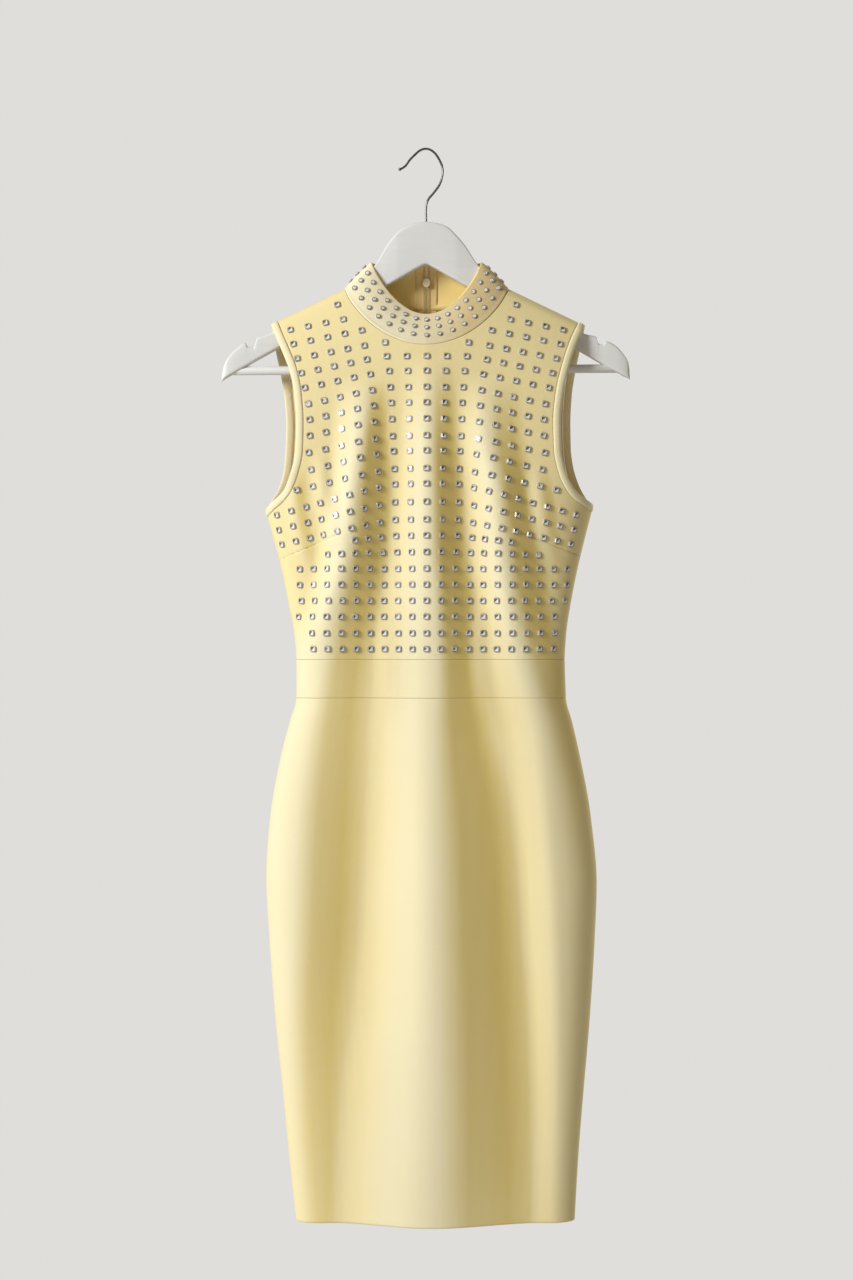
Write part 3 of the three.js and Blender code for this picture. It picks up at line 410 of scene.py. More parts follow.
def even_grid(surface, columns, rows):
    """Points spaced evenly along a surface, with their lengths along it and up it."""
    u = np.linspace(0, 1, 97)
    v = np.linspace(0, 1, 481)
    v = between(v, np.sin(math.pi * v / 2), 0.75)
    points = surface(u[None, :], v[:, None])
    run = np.cumsum(np.linalg.norm(np.diff(points, axis=0), axis=-1), axis=0)
    run = np.concatenate([np.zeros((1, len(u))), run])
    level = np.stack([np.interp(rows[:, 0] * r[-1] + rows[:, 1], r, v) for r in run.T], -1)
    height = np.stack([rows[:, 0] * r[-1] + rows[:, 1] for r in run.T], -1)
    fine = np.linspace(0, 1, 481)
    fine = between(fine, 0.5 - 0.5 * np.cos(math.pi * fine), 0.9)
    paths = surface(fine[None, :], np.stack([np.interp(fine, u, row) for row in level]))
    runs = np.cumsum(np.linalg.norm(np.diff(paths, axis=1), axis=-1), axis=1)
    found = []
    for i, r in enumerate(np.concatenate([np.zeros((len(rows), 1)), runs], 1)):
        want = columns[:, 0] * r[-1] + columns[:, 1]
        here = np.interp(want, r, fine)
        up = np.interp(here, u, height[i])
        total = np.interp(here, u, run[-1])
        found.append((here, np.interp(here, u, level[i]), want, r[-1] - want, up, total - up))
    u_at, v_at, left, right, low, high = (np.stack(k) for k in zip(*found))
    return surface(u_at, v_at), left, right, low, high


def keep(bm, name):
    """Ends a bmesh and keeps what it made as a new mesh."""
    mesh = bpy.data.meshes.new(name)
    bm.to_mesh(mesh)
    bm.free()
    return mesh


def grid_mesh(name, places, lengths=None):
    """A bmesh grid whose points are moved to their places, with its lengths in metres as its UV map."""
    rows, columns = places.shape[:2]
    bm = bmesh.new()
    bmesh.ops.create_grid(bm, x_segments=columns - 1, y_segments=rows - 1, size=1)
    mesh = keep(bm, name)
    flat = np.zeros(len(mesh.vertices) * 3)
    mesh.vertices.foreach_get("co", flat)
    flat = flat.reshape(-1, 3)
    j = np.rint((flat[:, 0] + 1) / 2 * (columns - 1)).astype(int)
    i = np.rint((flat[:, 1] + 1) / 2 * (rows - 1)).astype(int)
    mesh.vertices.foreach_set("co", (places[i, j] * MM).ravel())
    if lengths is not None:
        corner = np.zeros(len(mesh.loops), int)
        mesh.loops.foreach_get("vertex_index", corner)
        layer = mesh.uv_layers.new(name="lengths")
        uv = np.stack([lengths[0][i, j], lengths[1][i, j]], -1) * MM
        layer.data.foreach_set("uv", uv[corner].ravel())
    mesh.update()
    return mesh


def outward(mesh, until=math.inf):
    """Turns an open piece's faces away from the dress's middle, judged by its rows up to a length."""
    bm = bmesh.new()
    bm.from_mesh(mesh)
    bm.normal_update()
    lengths = bm.loops.layers.uv["lengths"]
    away = 0
    for f in bm.faces:
        if f.loops[0][lengths].uv.y < until * MM:
            middle = f.calc_center_median()
            away += f.normal.dot(Vector((middle.x - DRESS_MIDDLE * MM, middle.y, 0))) * f.calc_area()
    if away < 0:
        bmesh.ops.reverse_faces(bm, faces=bm.faces)
    bm.to_mesh(mesh)
    bm.free()


def show(mesh, node, body="dress_and_hanger", smoothed=True):
    """Links a piece, rides it on its body and hides the solid it stands for."""
    for polygon in mesh.polygons:
        polygon.use_smooth = smoothed
    piece = bpy.data.objects.new(mesh.name, mesh)
    bpy.context.scene.collection.objects.link(piece)
    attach(piece, body)
    if node:
        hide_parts(node)
    return piece


def cloth_piece(name, surface, columns, rows, rolled, face=0, turn=0.55, until=math.inf):
    """A sewn piece of cloth. Its rolled edges, left, right, low and high, turn in to their seams."""
    places, left, right, low, high = even_grid(surface, columns, rows)
    edge = np.full(left.shape, math.inf)
    for use, distance in zip(rolled, (left, right, low, high)):
        if use:
            edge = np.minimum(edge, distance)
    reach = np.clip(turn * EDGE_ROLL - edge, 0, None) / EDGE_ROLL
    fall = turn - np.sqrt(np.maximum(turn ** 2 - reach ** 2, 0))
    normal = unit(np.cross(np.gradient(places, axis=1), np.gradient(places, axis=0)))
    middle = (places - np.array([DRESS_MIDDLE, 0, 0])) * np.array([1, 1, 0])
    if (normal * middle * (low < until)[..., None]).sum() < 0:
        normal = -normal
    lengths = knit_lengths(face, places[..., 0], places[..., 2]) if face else (left, low)
    mesh = grid_mesh(name, places - normal * fall[..., None], lengths)
    outward(mesh, until)
    return mesh


def give_wall(piece, wall=CLOTH):
    """The cloth's thickness, laid on its inside. The inside takes the piece's second material."""
    solid = piece.modifiers.new("wall", "SOLIDIFY")
    solid.thickness = wall * MM
    solid.offset = -1
    solid.use_rim = True
    solid.material_offset = 1
    return piece


def paint_fold_shade(mesh):
    """Keeps at each point a share of painted shade, clipped to 1: it grows with how deep the point lies between
    the folds and, on the front, with how steeply the cloth slopes down to the right.
    """
    flat = np.zeros(len(mesh.vertices) * 3)
    mesh.vertices.foreach_get("co", flat)
    x, y, z = flat.reshape(-1, 3).T / MM
    high = np.where(y < 0, fold_height(-1, x, z), fold_height(1, x, z))
    slope = np.where(y < 0, fold_height(-1, x + 1, z) - fold_height(-1, x - 1, z), 0) / 2
    crest = np.where(y < 0, 0.4 * smooth(FRONT_FOLDS[0], 2, z) + 4, 8)
    # Painted shade: darker between the folds, and darker still where the front slopes away to the right, away from
    # the light on the left.
    deep = 0.45 * np.clip(1 - high / crest, 0, 1) + 2.2 * np.clip(-slope - 0.04, 0, 0.42)
    layer = mesh.attributes.new("deep", "FLOAT", "POINT")
    layer.data.foreach_set("value", np.clip(deep, 0, 1))


def new_material(name):
    material = bpy.data.materials.new(name)
    material.use_nodes = True
    tree = material.node_tree
    return material, tree, tree.nodes["Principled BSDF"]


def link_math(tree, operation, *values):
    """A maths node fed with numbers or sockets."""
    node = tree.nodes.new("ShaderNodeMath")
    node.operation = operation
    for socket, value in zip(node.inputs, values):
        if isinstance(value, (int, float)):
            socket.default_value = value
        else:
            tree.links.new(value, socket)
    return node.outputs[0]


def mix_colour(tree, share, a, b, blend="MIX"):
    node = tree.nodes.new("ShaderNodeMix")
    node.data_type = "RGBA"
    node.blend_type = blend
    for socket, value in ((node.inputs["Factor"], share), (node.inputs[6], a), (node.inputs[7], b)):
        if isinstance(value, (int, float, tuple)):
            socket.default_value = value
        else:
            tree.links.new(value, socket)
    return node.outputs[2]


def own_place(tree):
    """The place on a piece, in its own coordinates."""
    return tree.nodes.new("ShaderNodeTexCoord").outputs["Object"]


def add_bump(tree, shader, height, strength, distance):
    bump = tree.nodes.new("ShaderNodeBump")
    bump.inputs["Strength"].default_value = strength
    bump.inputs["Distance"].default_value = distance
    tree.links.new(height, bump.inputs["Height"])
    tree.links.new(bump.outputs["Normal"], shader.inputs["Normal"])


def noise(tree, place, scale, detail=2.0, roughness=0.5):
    node = tree.nodes.new("ShaderNodeTexNoise")
    node.inputs["Scale"].default_value = scale
    node.inputs["Detail"].default_value = detail
    node.inputs["Roughness"].default_value = roughness
    tree.links.new(place, node.inputs["Vector"])
    return node.outputs["Fac"]


def knit_group():
    """The knit's stitches: small V shapes in columns, with fine fuzz over them and uneven colour."""
    group = bpy.data.node_groups.new("knit", "ShaderNodeTree")
    group.interface.new_socket("Lengths", in_out="INPUT", socket_type="NodeSocketVector")
    group.interface.new_socket("Place", in_out="INPUT", socket_type="NodeSocketVector")
    group.interface.new_socket("Stitch", in_out="INPUT", socket_type="NodeSocketFloat")
    group.interface.new_socket("Height", in_out="OUTPUT", socket_type="NodeSocketFloat")
    group.interface.new_socket("Shade", in_out="OUTPUT", socket_type="NodeSocketFloat")
    into = group.nodes.new("NodeGroupInput")
    out = group.nodes.new("NodeGroupOutput")
    split = group.nodes.new("ShaderNodeSeparateXYZ")
    group.links.new(into.outputs["Lengths"], split.inputs[0])
    across = link_math(group, "FRACT", link_math(group, "DIVIDE", split.outputs[0], into.outputs["Stitch"]))
    up = link_math(group, "DIVIDE", split.outputs[1], into.outputs["Stitch"])
    off = link_math(group, "ABSOLUTE", link_math(group, "SUBTRACT", across, 0.5))
    slant = link_math(group, "ADD", link_math(group, "MULTIPLY", up, 1.3), off)
    wave = link_math(group, "SINE", link_math(group, "MULTIPLY", slant, 2 * math.pi))
    rib = link_math(group, "SINE", link_math(group, "MULTIPLY", across, math.pi))
    fuzz = noise(group, into.outputs["Place"], 900, 3.0, 0.6)
    stitch = link_math(group, "MULTIPLY_ADD", wave, 0.25, link_math(group, "MULTIPLY", rib, 0.5))
    height = link_math(group, "MULTIPLY_ADD", fuzz, 0.9, stitch)
    group.links.new(height, out.inputs["Height"])
    cloud = noise(group, into.outputs["Place"], 14, 3.0, 0.55)
    grain = noise(group, into.outputs["Place"], 420, 2.0, 0.6)
    shade = link_math(group, "MULTIPLY_ADD", cloud, 0.5, link_math(group, "MULTIPLY", grain, 0.5))
    group.links.new(shade, out.inputs["Shade"])
    return group


KNIT = knit_group()
STITCH = 0.0012
YELLOW_LIGHT = (0.87, 0.80, 0.55, 1)
# The deep colour is painted shade, mixed in between the folds and on their right-facing sides.
YELLOW_PAINTED_SHADE = (0.87, 0.70, 0.26, 1)
# The reverse's gold is partly its own colour and partly painted light, brightened to lift the shaded inside of the
# collar and bodice.
YELLOW_REVERSE_AND_PAINTED_GLOW = (0.98, 0.75, 0.30, 1)


def knit_material(name, light=YELLOW_LIGHT, deep=YELLOW_PAINTED_SHADE):
    """Heavy double knit: matt, with a faint bloom of fine fibres. Its colour is mixed from light to deep by the
    point's deep share: painted shade between the folds and on their right-hand slopes.
    """
    material, tree, shader = new_material(name)
    lengths = tree.nodes.new("ShaderNodeUVMap")
    lengths.uv_map = "lengths"
    knit = tree.nodes.new("ShaderNodeGroup")
    knit.node_tree = KNIT
    tree.links.new(lengths.outputs[0], knit.inputs["Lengths"])
    tree.links.new(own_place(tree), knit.inputs["Place"])
    knit.inputs["Stitch"].default_value = STITCH
    # Reads the painted fold shade.
    painted_shade = tree.nodes.new("ShaderNodeAttribute")
    painted_shade.attribute_name = "deep"
    uneven = link_math(tree, "MULTIPLY_ADD", knit.outputs["Shade"], -0.5, 0.3)
    share = tree.nodes.new("ShaderNodeClamp")
    tree.links.new(link_math(tree, "ADD", painted_shade.outputs["Fac"], uneven), share.inputs[0])
    tree.links.new(mix_colour(tree, share.outputs[0], light, deep), shader.inputs["Base Color"])
    add_bump(tree, shader, knit.outputs["Height"], 0.6, 0.0002)
    shader.inputs["Roughness"].default_value = 0.86
    shader.inputs["Specular IOR Level"].default_value = 0.25
    shader.inputs["Sheen Weight"].default_value = 0.2
    shader.inputs["Sheen Roughness"].default_value = 0.5
    shader.inputs["Sheen Tint"].default_value = (1, 0.98, 0.9, 1)
    return material


yellow_knit = knit_material("yellow_knit")
yellow_reverse = knit_material("yellow_reverse", YELLOW_REVERSE_AND_PAINTED_GLOW, YELLOW_REVERSE_AND_PAINTED_GLOW)


def finish_cloth(mesh):
    """The knit's face on the outside, with its painted fold shade, and its reverse on the inside, in a stronger,
    brighter gold that is partly painted light.
    """
    paint_fold_shade(mesh)
    mesh.materials.append(yellow_knit)
    mesh.materials.append(yellow_reverse)
    return mesh


def bodice_share(v):
    """From -1 at the waist to 0 at the underarm and 1 at the shoulder."""
    return np.where(v < UNDERARM, v / UNDERARM - 1, (v - UNDERARM) / (1 - UNDERARM))


def front_surface(u, v):
    x, z = bodice_place(-1, 2 * u - 1, bodice_share(v))
    return on_cloth(-1, x, z)


def cut_dart(bm, outer, tip):
    """Sews one bust dart: three cuts along its line, and the middle one drawn in."""
    a = Vector((outer[0], 0, outer[1])) * MM
    b = Vector((tip[0], 0, tip[1])) * MM
    along = (b - a).normalized()
    across = Vector((along.z, 0, -along.x))
    length = (b - a).length
    for offset in (-DART_CUT * MM, 0.0, DART_CUT * MM):
        near = [f for f in bm.faces if abs((f.calc_center_median() - a).dot(across)) < 0.005
                and -0.006 < (f.calc_center_median() - a).dot(along) < length + 0.002]
        geometry = {e for f in near for e in f.edges} | {v for f in near for v in f.verts} | set(near)
        bmesh.ops.bisect_plane(bm, geom=list(geometry), dist=1e-5,
                               plane_co=a + across * offset, plane_no=across)
    bm.normal_update()
    for v in bm.verts:
        way = (v.co - a).dot(along)
        if abs((v.co - a).dot(across)) < 1e-4 and -0.006 < way < length:
            v.co -= v.normal * DART_DEEP * MM * min(1, (length - way) / 0.012)


front_mesh = cloth_piece("bodice_front_cloth", front_surface, lines(150), lines(156), (1, 1, 1, 1), -1)
dart_bm = bmesh.new()
dart_bm.from_mesh(front_mesh)
for dart in DARTS:
    cut_dart(dart_bm, *dart)
dart_bm.to_mesh(front_mesh)
dart_bm.free()
bodice_front = give_wall(show(finish_cloth(front_mesh), "bodice_front"))

# Bodice studs
# Square glass crystals, each in a bright metal cup whose prongs go through the knit and fold behind it.
# They stand in rows that curve with the bust, closer together towards the waist.
STUD = 6.7
# height, first column, last on the left, last on the right, inner pitch, outer pitch, fall per column
STUD_ROWS = [
    [-158, 4, 4, 4, 24, 21, 3.4],
    [-174, 4, 7, 7, 22.8, 18.4, 3.4],
    [-189.4, 3, 7, 7, 22.5, 17.8, 3.4],
    [-205.9, 2, 7, 7, 21.6, 17.4, 3.2],
    [-220.4, 0, 7, 7, 20.7, 17, 3.4],
    [-235.9, 0, 7, 7, 19.5, 17, 3.4],
    [-252.8, 0, 7, 7, 18.9, 16.5, 3.4],
    [-269, 0, 7, 7, 18.4, 16.5, 3.4],
    [-285.8, 0, 7, 7, 18.1, 16.7, 3.4],
    [-303.4, 0, 7, 7, 17.8, 17.2, 3.4],
    [-318.9, 0, 7, 7, 17.2, 17, 3.8],
    [-337.2, 0, 8, 8, 16.7, 16.9, 3.6],
    [-353, 0, 10, 10, 16.4, 15.2, 3.9],
    [-371.6, 0, 10, 10, 16.4, 14.9, 3.5],
    [-389.8, 0, 10, 10, 16.1, 14.6, 3.1],
    [-406.4, 0, 5, 6, 15.8, 13.2, 1.7],
    [-423.3, 0, 7, 8, 15.2, 14.1, 0.5],
    [-440.5, 0, 9, 10, 14.8, 14.6, 0],
    [-457, 0, 9, 10, 14.8, 14.6, 0],
    [-473.6, 0, 9, 10, 14.8, 14.3, 0],
    [-490.1, 0, 9, 9, 14.8, 14.8, 0],
    [-507.3, 0, 8, 9, 14.6, 15, 0],
    [-523.8, 0, 8, 9, 14.5, 14.8, 0],
]


def crystal_template(size, corner):
    """One stud: a cup with cut corners and a rolled rim, and a cut crystal that narrows to its table."""
    bm = bmesh.new()
    bmesh.ops.create_grid(bm, x_segments=1, y_segments=1, size=size / 2 * MM)
    bmesh.ops.bevel(bm, geom=bm.verts[:], offset=corner * MM, segments=1, profile=0.5,
                    affect="VERTICES", material=-1)
    bmesh.ops.translate(bm, verts=bm.verts, vec=(0, 0, -0.0003))
    walls = bmesh.ops.extrude_face_region(bm, geom=bm.faces[:])
    top = [g for g in walls["geom"] if isinstance(g, bmesh.types.BMFace)]
    bmesh.ops.translate(bm, verts=list(top[0].verts), vec=(0, 0, 0.0013))
    bmesh.ops.inset_region(bm, faces=top, thickness=0.00025, depth=0.0003)
    bmesh.ops.inset_region(bm, faces=top, thickness=0.0003, depth=0)
    bmesh.ops.inset_region(bm, faces=top, thickness=0.0001, depth=-0.0004)
    top[0].material_index = 1
    bmesh.ops.inset_region(bm, faces=top, thickness=0.0005, depth=0.0006)
    middle = bmesh.ops.poke(bm, faces=top)
    bmesh.ops.translate(bm, verts=middle["verts"], vec=(0, 0, 0.00016))
    bm.normal_update()
    return keep(bm, "crystal_template")


# The side of a stud's table where its painted reflection is bright.
PAINTED_GLINT_SIDE = Vector((0.75, -0.66))


def set_studs(name, frames, template, cup_light, table_light, painted_glint_contrast):
    """One mesh of all the studs. Each cut face has its own shade: on the table a painted reflection, dark at the
    upper left and bright at the lower right, on the crown painted light from the upper left, and on the cups a
    random tone.
    """
    rng = np.random.default_rng(7)
    bm = bmesh.new()
    for at in frames:
        template.transform(at)
        bm.from_mesh(template)
        template.transform(at.inverted())
    shade = bm.faces.layers.float.new("shade")
    bm.faces.ensure_lookup_table()
    faces = []
    for polygon in template.polygons:
        place = polygon.center.xy.dot(PAINTED_GLINT_SIDE) / max(polygon.center.xy.length, 1e-6)
        table = polygon.material_index == 1 and polygon.normal.z > 0.95
        faces.append((polygon.material_index, table, place))
    for k, f in enumerate(bm.faces):
        crystal, table, place = faces[k % len(faces)]
        # Painted reflection on the table and painted light on the crown, by the face's side; random tone on the
        # cups.
        if table:
            tone_and_painted_glint = table_light + painted_glint_contrast * place + rng.normal(0, 0.17)
        elif crystal:
            tone_and_painted_glint = 0.6 - 0.3 * place + rng.normal(0, 0.15)
        else:
            tone_and_painted_glint = cup_light + rng.normal(0, 0.12)
        f[shade] = float(np.clip(tone_and_painted_glint, 0, 1))
    return keep(bm, name)


def shade_ramp(tree, stops):
    """A ramp over each face's own shade."""
    shade = tree.nodes.new("ShaderNodeAttribute")
    shade.attribute_name = "shade"
    ramp = tree.nodes.new("ShaderNodeValToRGB")
    ramp.color_ramp.elements[0].position = stops[0][0]
    ramp.color_ramp.elements[0].color = stops[0][1]
    ramp.color_ramp.elements[1].position = stops[-1][0]
    ramp.color_ramp.elements[1].color = stops[-1][1]
    for position, colour in stops[1:-1]:
        ramp.color_ramp.elements.new(position).color = colour
    tree.links.new(shade.outputs["Fac"], ramp.inputs[0])
    return ramp.outputs[0]


cup_metal, tree, shader = new_material("cup_metal")
metal_colour = shade_ramp(tree, [(0, (0.20, 0.18, 0.15, 1)), (1, (0.90, 0.88, 0.85, 1))])
tree.links.new(metal_colour, shader.inputs["Base Color"])
worn = noise(tree, own_place(tree), 700, 2.0)
tree.links.new(link_math(tree, "MULTIPLY_ADD", worn, 0.25, 0.3), shader.inputs["Roughness"])
shader.inputs["Metallic"].default_value = 0.55

# The crystal's colours are its faces' painted reflection and painted light, through a ramp.
crystal_glass, tree, shader = new_material("crystal_glass")
painted_reflection_colour = shade_ramp(tree, [
    (0, (0.09, 0.08, 0.075, 1)),
    (0.35, (0.26, 0.245, 0.23, 1)),
    (0.6, (0.72, 0.70, 0.68, 1)),
    (1, (0.98, 0.98, 0.97, 1)),
])
tree.links.new(painted_reflection_colour, shader.inputs["Base Color"])
foil = noise(tree, own_place(tree), 500, 1.0)
tree.links.new(link_math(tree, "MULTIPLY_ADD", foil, 0.15, 0.22), shader.inputs["Roughness"])
shader.inputs["Metallic"].default_value = 0.2
shader.inputs["Coat Weight"].default_value = 0.4
shader.inputs["Coat Roughness"].default_value = 0.08

bodice_frames = []
for height, first, last_left, last_right, inner, outer, fall in STUD_ROWS:
    for k in range(-last_left, last_right + 1):
        n = abs(k)
        if n < first:
            continue
        side = (k > 0) - (k < 0)
        x = side * (min(n, 3) * inner + max(0, n - 3) * outer)
        z = height - max(0, n - 2) * fall
        out = Vector(out_of_cloth(-1, x, z))
        tilt = -side * fall / outer if n > 2 else 0
        across = (Vector((1, 0, tilt)) - out * (out.x + out.z * tilt)).normalized()
        up = -across.cross(out)
        at = Matrix.Translation(Vector(on_cloth(-1, x, z)) * MM)
        bodice_frames.append(at @ Matrix((across, up, out)).transposed().to_4x4())
template = crystal_template(STUD, 1.25)
studs_mesh = set_studs("bodice_studs", bodice_frames, template, 0.42, 0.62, 0.62)
bpy.data.meshes.remove(template)
studs_mesh.materials.append(cup_metal)
studs_mesh.materials.append(crystal_glass)
bodice_studs = show(studs_mesh, None, smoothed=False)

# Bodice backs
# Two plain panels of the same knit. They meet at the centre back, where the concealed zip closes them,
# and each hangs in one long fold with small creases at the underarm and the waist.


def back_surface(side):
    """A back panel's width is fitted between the centre seam and its outer edge."""
    def surface(u, v):
        u, share = np.broadcast_arrays(u, bodice_share(v))
        x, z = bodice_place(1, side * np.maximum(u, 1e-6), share)
        first = bodice_place(1, np.full(share.shape, side * 1e-6), share)[0]
        last = bodice_place(1, np.full(share.shape, side * 1.0), share)[0]
        seam = side * SEAM / 2
        return on_cloth(1, seam + (x - first) * (last - seam) / (last - first), z)
    return surface


for side, word in ((-1, "left"), (1, "right")):
    mesh = cloth_piece(f"bodice_back_{word}_cloth", back_surface(side), lines(84), lines(140),
                       (1, 1, 1, 1), 1)
    piece = give_wall(show(finish_cloth(mesh), f"bodice_back_{word}"))

# Waistband
# A plain straight band between the bodice and the skirt, in three parts like them.
# It is held by two fine seams and lies a little flatter than the cloth above and below.
WAIST_BOTTOM = -575


def level_surface(face, side, top, bottom):
    """A panel between two heights. The front runs from side to side, a back panel from zip to side."""
    def surface(u, v):
        z = between(bottom, top, v)
        shift = smooth(BODY, 2, z)
        half = smooth(BODY, 1, z)
        if face < 0:
            return on_cloth(face, shift + np.sin(math.pi * (u - 0.5)) * half, z)
        edge = side * SEAM / 2
        return on_cloth(face, edge + (shift + side * half - edge) * np.sin(math.pi * u / 2), z)
    return surface


waist_top = WAIST_TOP - SEAM / 2
waist_bottom = WAIST_BOTTOM + SEAM / 2
for word, face, side, columns, flat, area in (
    ("front", -1, 0, 150, (0.32, 0.042), 0.0128),
    ("back_left", 1, -1, 84, (0.16, 0.042), 0.0062),
    ("back_right", 1, 1, 84, (0.17, 0.042), 0.0066),
):
    surface = level_surface(face, side, waist_top, waist_bottom)
    mesh = cloth_piece(f"waistband_{word}_cloth", surface, lines(columns), lines(14), (1, 1, 1, 1), face)
    piece = give_wall(show(finish_cloth(mesh), f"waistband_{word}"))

# Skirt
# A front panel and two backs, close at the hips and narrowing to the knee, with no slit.
# The hem is turned up once inside and held by a hidden stitch, so its lower edge is a soft round fold.
HEM = -1123.5
HEM_FOLD = 2.1
HEM_TURN = 26


def skirt_surface(face, side):
    fold_z = HEM + HEM_FOLD
    shares = [0, 0.06, 0.1, 1]

    def surface(u, v):
        inside = np.clip((v - shares[0]) / (shares[1] - shares[0]), 0, 1)
        bend = np.clip((v - shares[1]) / (shares[2] - shares[1]), 0, 1)
        outside = np.clip((v - shares[2]) / (shares[3] - shares[2]), 0, 1)
        angle = math.pi * (1 - bend)
        z = fold_z + HEM_TURN * (1 - inside) + outside * (WAIST_BOTTOM - SEAM / 2 - fold_z)
        half = smooth(BODY, 1, z)
        shift = smooth(BODY, 2, z)
        if face < 0:
            x = shift + np.sin(math.pi * (u - 0.5)) * half
        else:
            edge = side * SEAM / 2
            x = edge + (shift + side * half - edge) * np.sin(math.pi * u / 2)
        deep = HEM_FOLD * (1 - np.cos(angle))
        point = on_cloth(face, x, z) - out_of_cloth(face, x, z) * deep[..., None]
        point[..., 2] -= HEM_FOLD * np.sin(angle)
        return point
    return surface


hem_lines = [0, 6, 13, 20, 26, 27.1, 28.2, 29.3, 30.4, 31.5, 32.6, 34, 36]
for word, face, side, columns, flat, area in (
    ("front", -1, 0, 150, (0.44, 0.58), 0.225),
    ("back_left", 1, -1, 84, (0.23, 0.58), 0.108),
    ("back_right", 1, 1, 84, (0.24, 0.58), 0.115),
):
    surface = skirt_surface(face, side)
    rows = lines(150, low=hem_lines)
    mesh = cloth_piece(f"skirt_{word}_cloth", surface, lines(columns), rows, (1, 1, 0, 1), face)
    piece = give_wall(show(finish_cloth(mesh), f"skirt_{word}"))

# Collar
# A standing band of the knit, folded at its top edge and open at the centre back for the zip.
# Its lower edge is sewn into the neck seam, with a plain strip below the three rows of crystals.
COLLAR_HALF = 58
COLLAR_SIDE = -117.3
COLLAR_FRONT_DROP = 56
COLLAR_BACK_DROP = 1.5
COLLAR_MIDDLE = 2
COLLAR_DEPTH = 14.5
COLLAR_OPENING = 1.5
COLLAR_FOLD = 1.05
COLLAR_TUCK = 0.07


def collar_across(x):
    """Near the centre back the band ends at the opening."""
    near = np.abs(x) < 12
    return np.where(near, between(COLLAR_OPENING, 12, np.abs(x) / 12), np.abs(x))


def collar_point(angle, share):
    """A place on the collar. angle is 0 at the front's centre and pi at the back's."""
    angle, share = np.broadcast_arrays(np.asarray(angle, float), np.asarray(share, float))
    side = np.sign(angle)
    c = np.cos(angle)
    back = c < 0
    low_x = NECK_HALF * np.abs(np.sin(angle))
    low_x = side * np.where(back, collar_across(low_x), low_x)
    drop = np.where(back, NECK_BACK_DROP, NECK_FRONT_DROP)
    low_z = NECK_SIDE - drop * np.abs(c) ** 1.5
    front = on_cloth(-1, low_x, low_z)
    rear = on_cloth(1, low_x, low_z)
    low = np.where(back[..., None], rear, front)
    high_x = COLLAR_HALF * np.abs(np.sin(angle))
    high_x = side * np.where(back, collar_across(high_x), high_x)
    high_y = COLLAR_MIDDLE - COLLAR_DEPTH * np.sign(c) * np.abs(c) ** 0.5
    high_z = COLLAR_SIDE - np.where(back, COLLAR_BACK_DROP, COLLAR_FRONT_DROP) * np.abs(c) ** 1.8
    high = np.stack([high_x, high_y, high_z], -1)
    return low + (high - low) * share[..., None]


def collar_out(angle, share):
    a = np.clip(angle, -math.pi + 0.03, math.pi - 0.03)
    around = collar_point(a + 0.01, share) - collar_point(a - 0.01, share)
    up = collar_point(a, np.ones_like(a)) - collar_point(a, np.zeros_like(a))
    return unit(np.cross(around, up))


def collar_surface(u, v):
    """Up the outside, over the top fold and down the inside to the neck seam."""
    angle = between(-math.pi, math.pi, u)
    outside = np.clip(v / 0.48, 0, 1)
    bend = np.clip((v - 0.48) / 0.04, 0, 1)
    inside = np.clip((v - 0.52) / 0.48, 0, 1)
    share = 0.002 + outside * 0.975 - inside * (0.975 + COLLAR_TUCK)
    angle, share, bend = np.broadcast_arrays(angle, share, bend)
    out = collar_out(angle, share)
    up = unit(collar_point(angle, share * 0 + 1) - collar_point(angle, share * 0))
    turn = math.pi * bend
    rim = 0.5 * np.clip(1 - np.abs(share - 0.045) / 0.045, 0, 1) * (bend <= 0)
    tucked = 1.1 * np.clip(1 - share / 0.06, 0, 1) * (bend > 0)
    away = 4 * np.maximum(share, 0) * (1 - share) + rim - tucked - COLLAR_FOLD * (1 - np.cos(turn))
    return collar_point(angle, share) + out * away[..., None] + up * (COLLAR_FOLD * np.sin(turn))[..., None]


collar_rows = np.array(
    [(0, v) for v in (0, 0.4, 1, 1.8, 2.8, 3.8, 5)]
    + [(0.5 * k / 14, between(5, -4, k / 14)) for k in range(1, 15)]
    + [(0.5, v) for v in (-2.8, -1.65, -1.1, -0.55, 0, 0.55, 1.1, 1.65, 2.8, 4)]
    + [(between(0.5, 1, k / 10), between(4, 0, k / 10)) for k in range(1, 11)]
)
collar_mesh = cloth_piece("collar_cloth", collar_surface, lines(210), collar_rows, (1, 1, 1, 0),
                          turn=0.5, until=30)
# The collar's knit mixes a paler light colour and a much darker deep colour: painted light and painted shade.
collar_knit = knit_material("collar_knit", (0.95, 0.88, 0.64, 1), (0.62, 0.49, 0.25, 1))
collar_mesh.materials.append(collar_knit)
collar_mesh.materials.append(yellow_reverse)
# Painted light and shade on the front of the collar: paler on its left half and darker on its right half, as if
# lit from the left; the back keeps an even share.
deep = collar_mesh.attributes.new("deep", "FLOAT", "POINT")
facing = np.zeros(len(collar_mesh.vertices) * 3)
collar_mesh.vertices.foreach_get("co", facing)
at_front = np.clip(0.3 - facing[1::3] / MM / 15, 0, 1)
deep.data.foreach_set("value", np.clip(0.3 + at_front * facing[::3] / MM / 75, 0, 0.9))
for polygon in collar_mesh.polygons:
    across = Vector((polygon.center.x, polygon.center.y - COLLAR_MIDDLE * MM, 0))
    polygon.material_index = int(polygon.normal.dot(across) < 0 and polygon.center.z > -0.19)
collar = give_wall(show(collar_mesh, "collar"), wall=0.95)

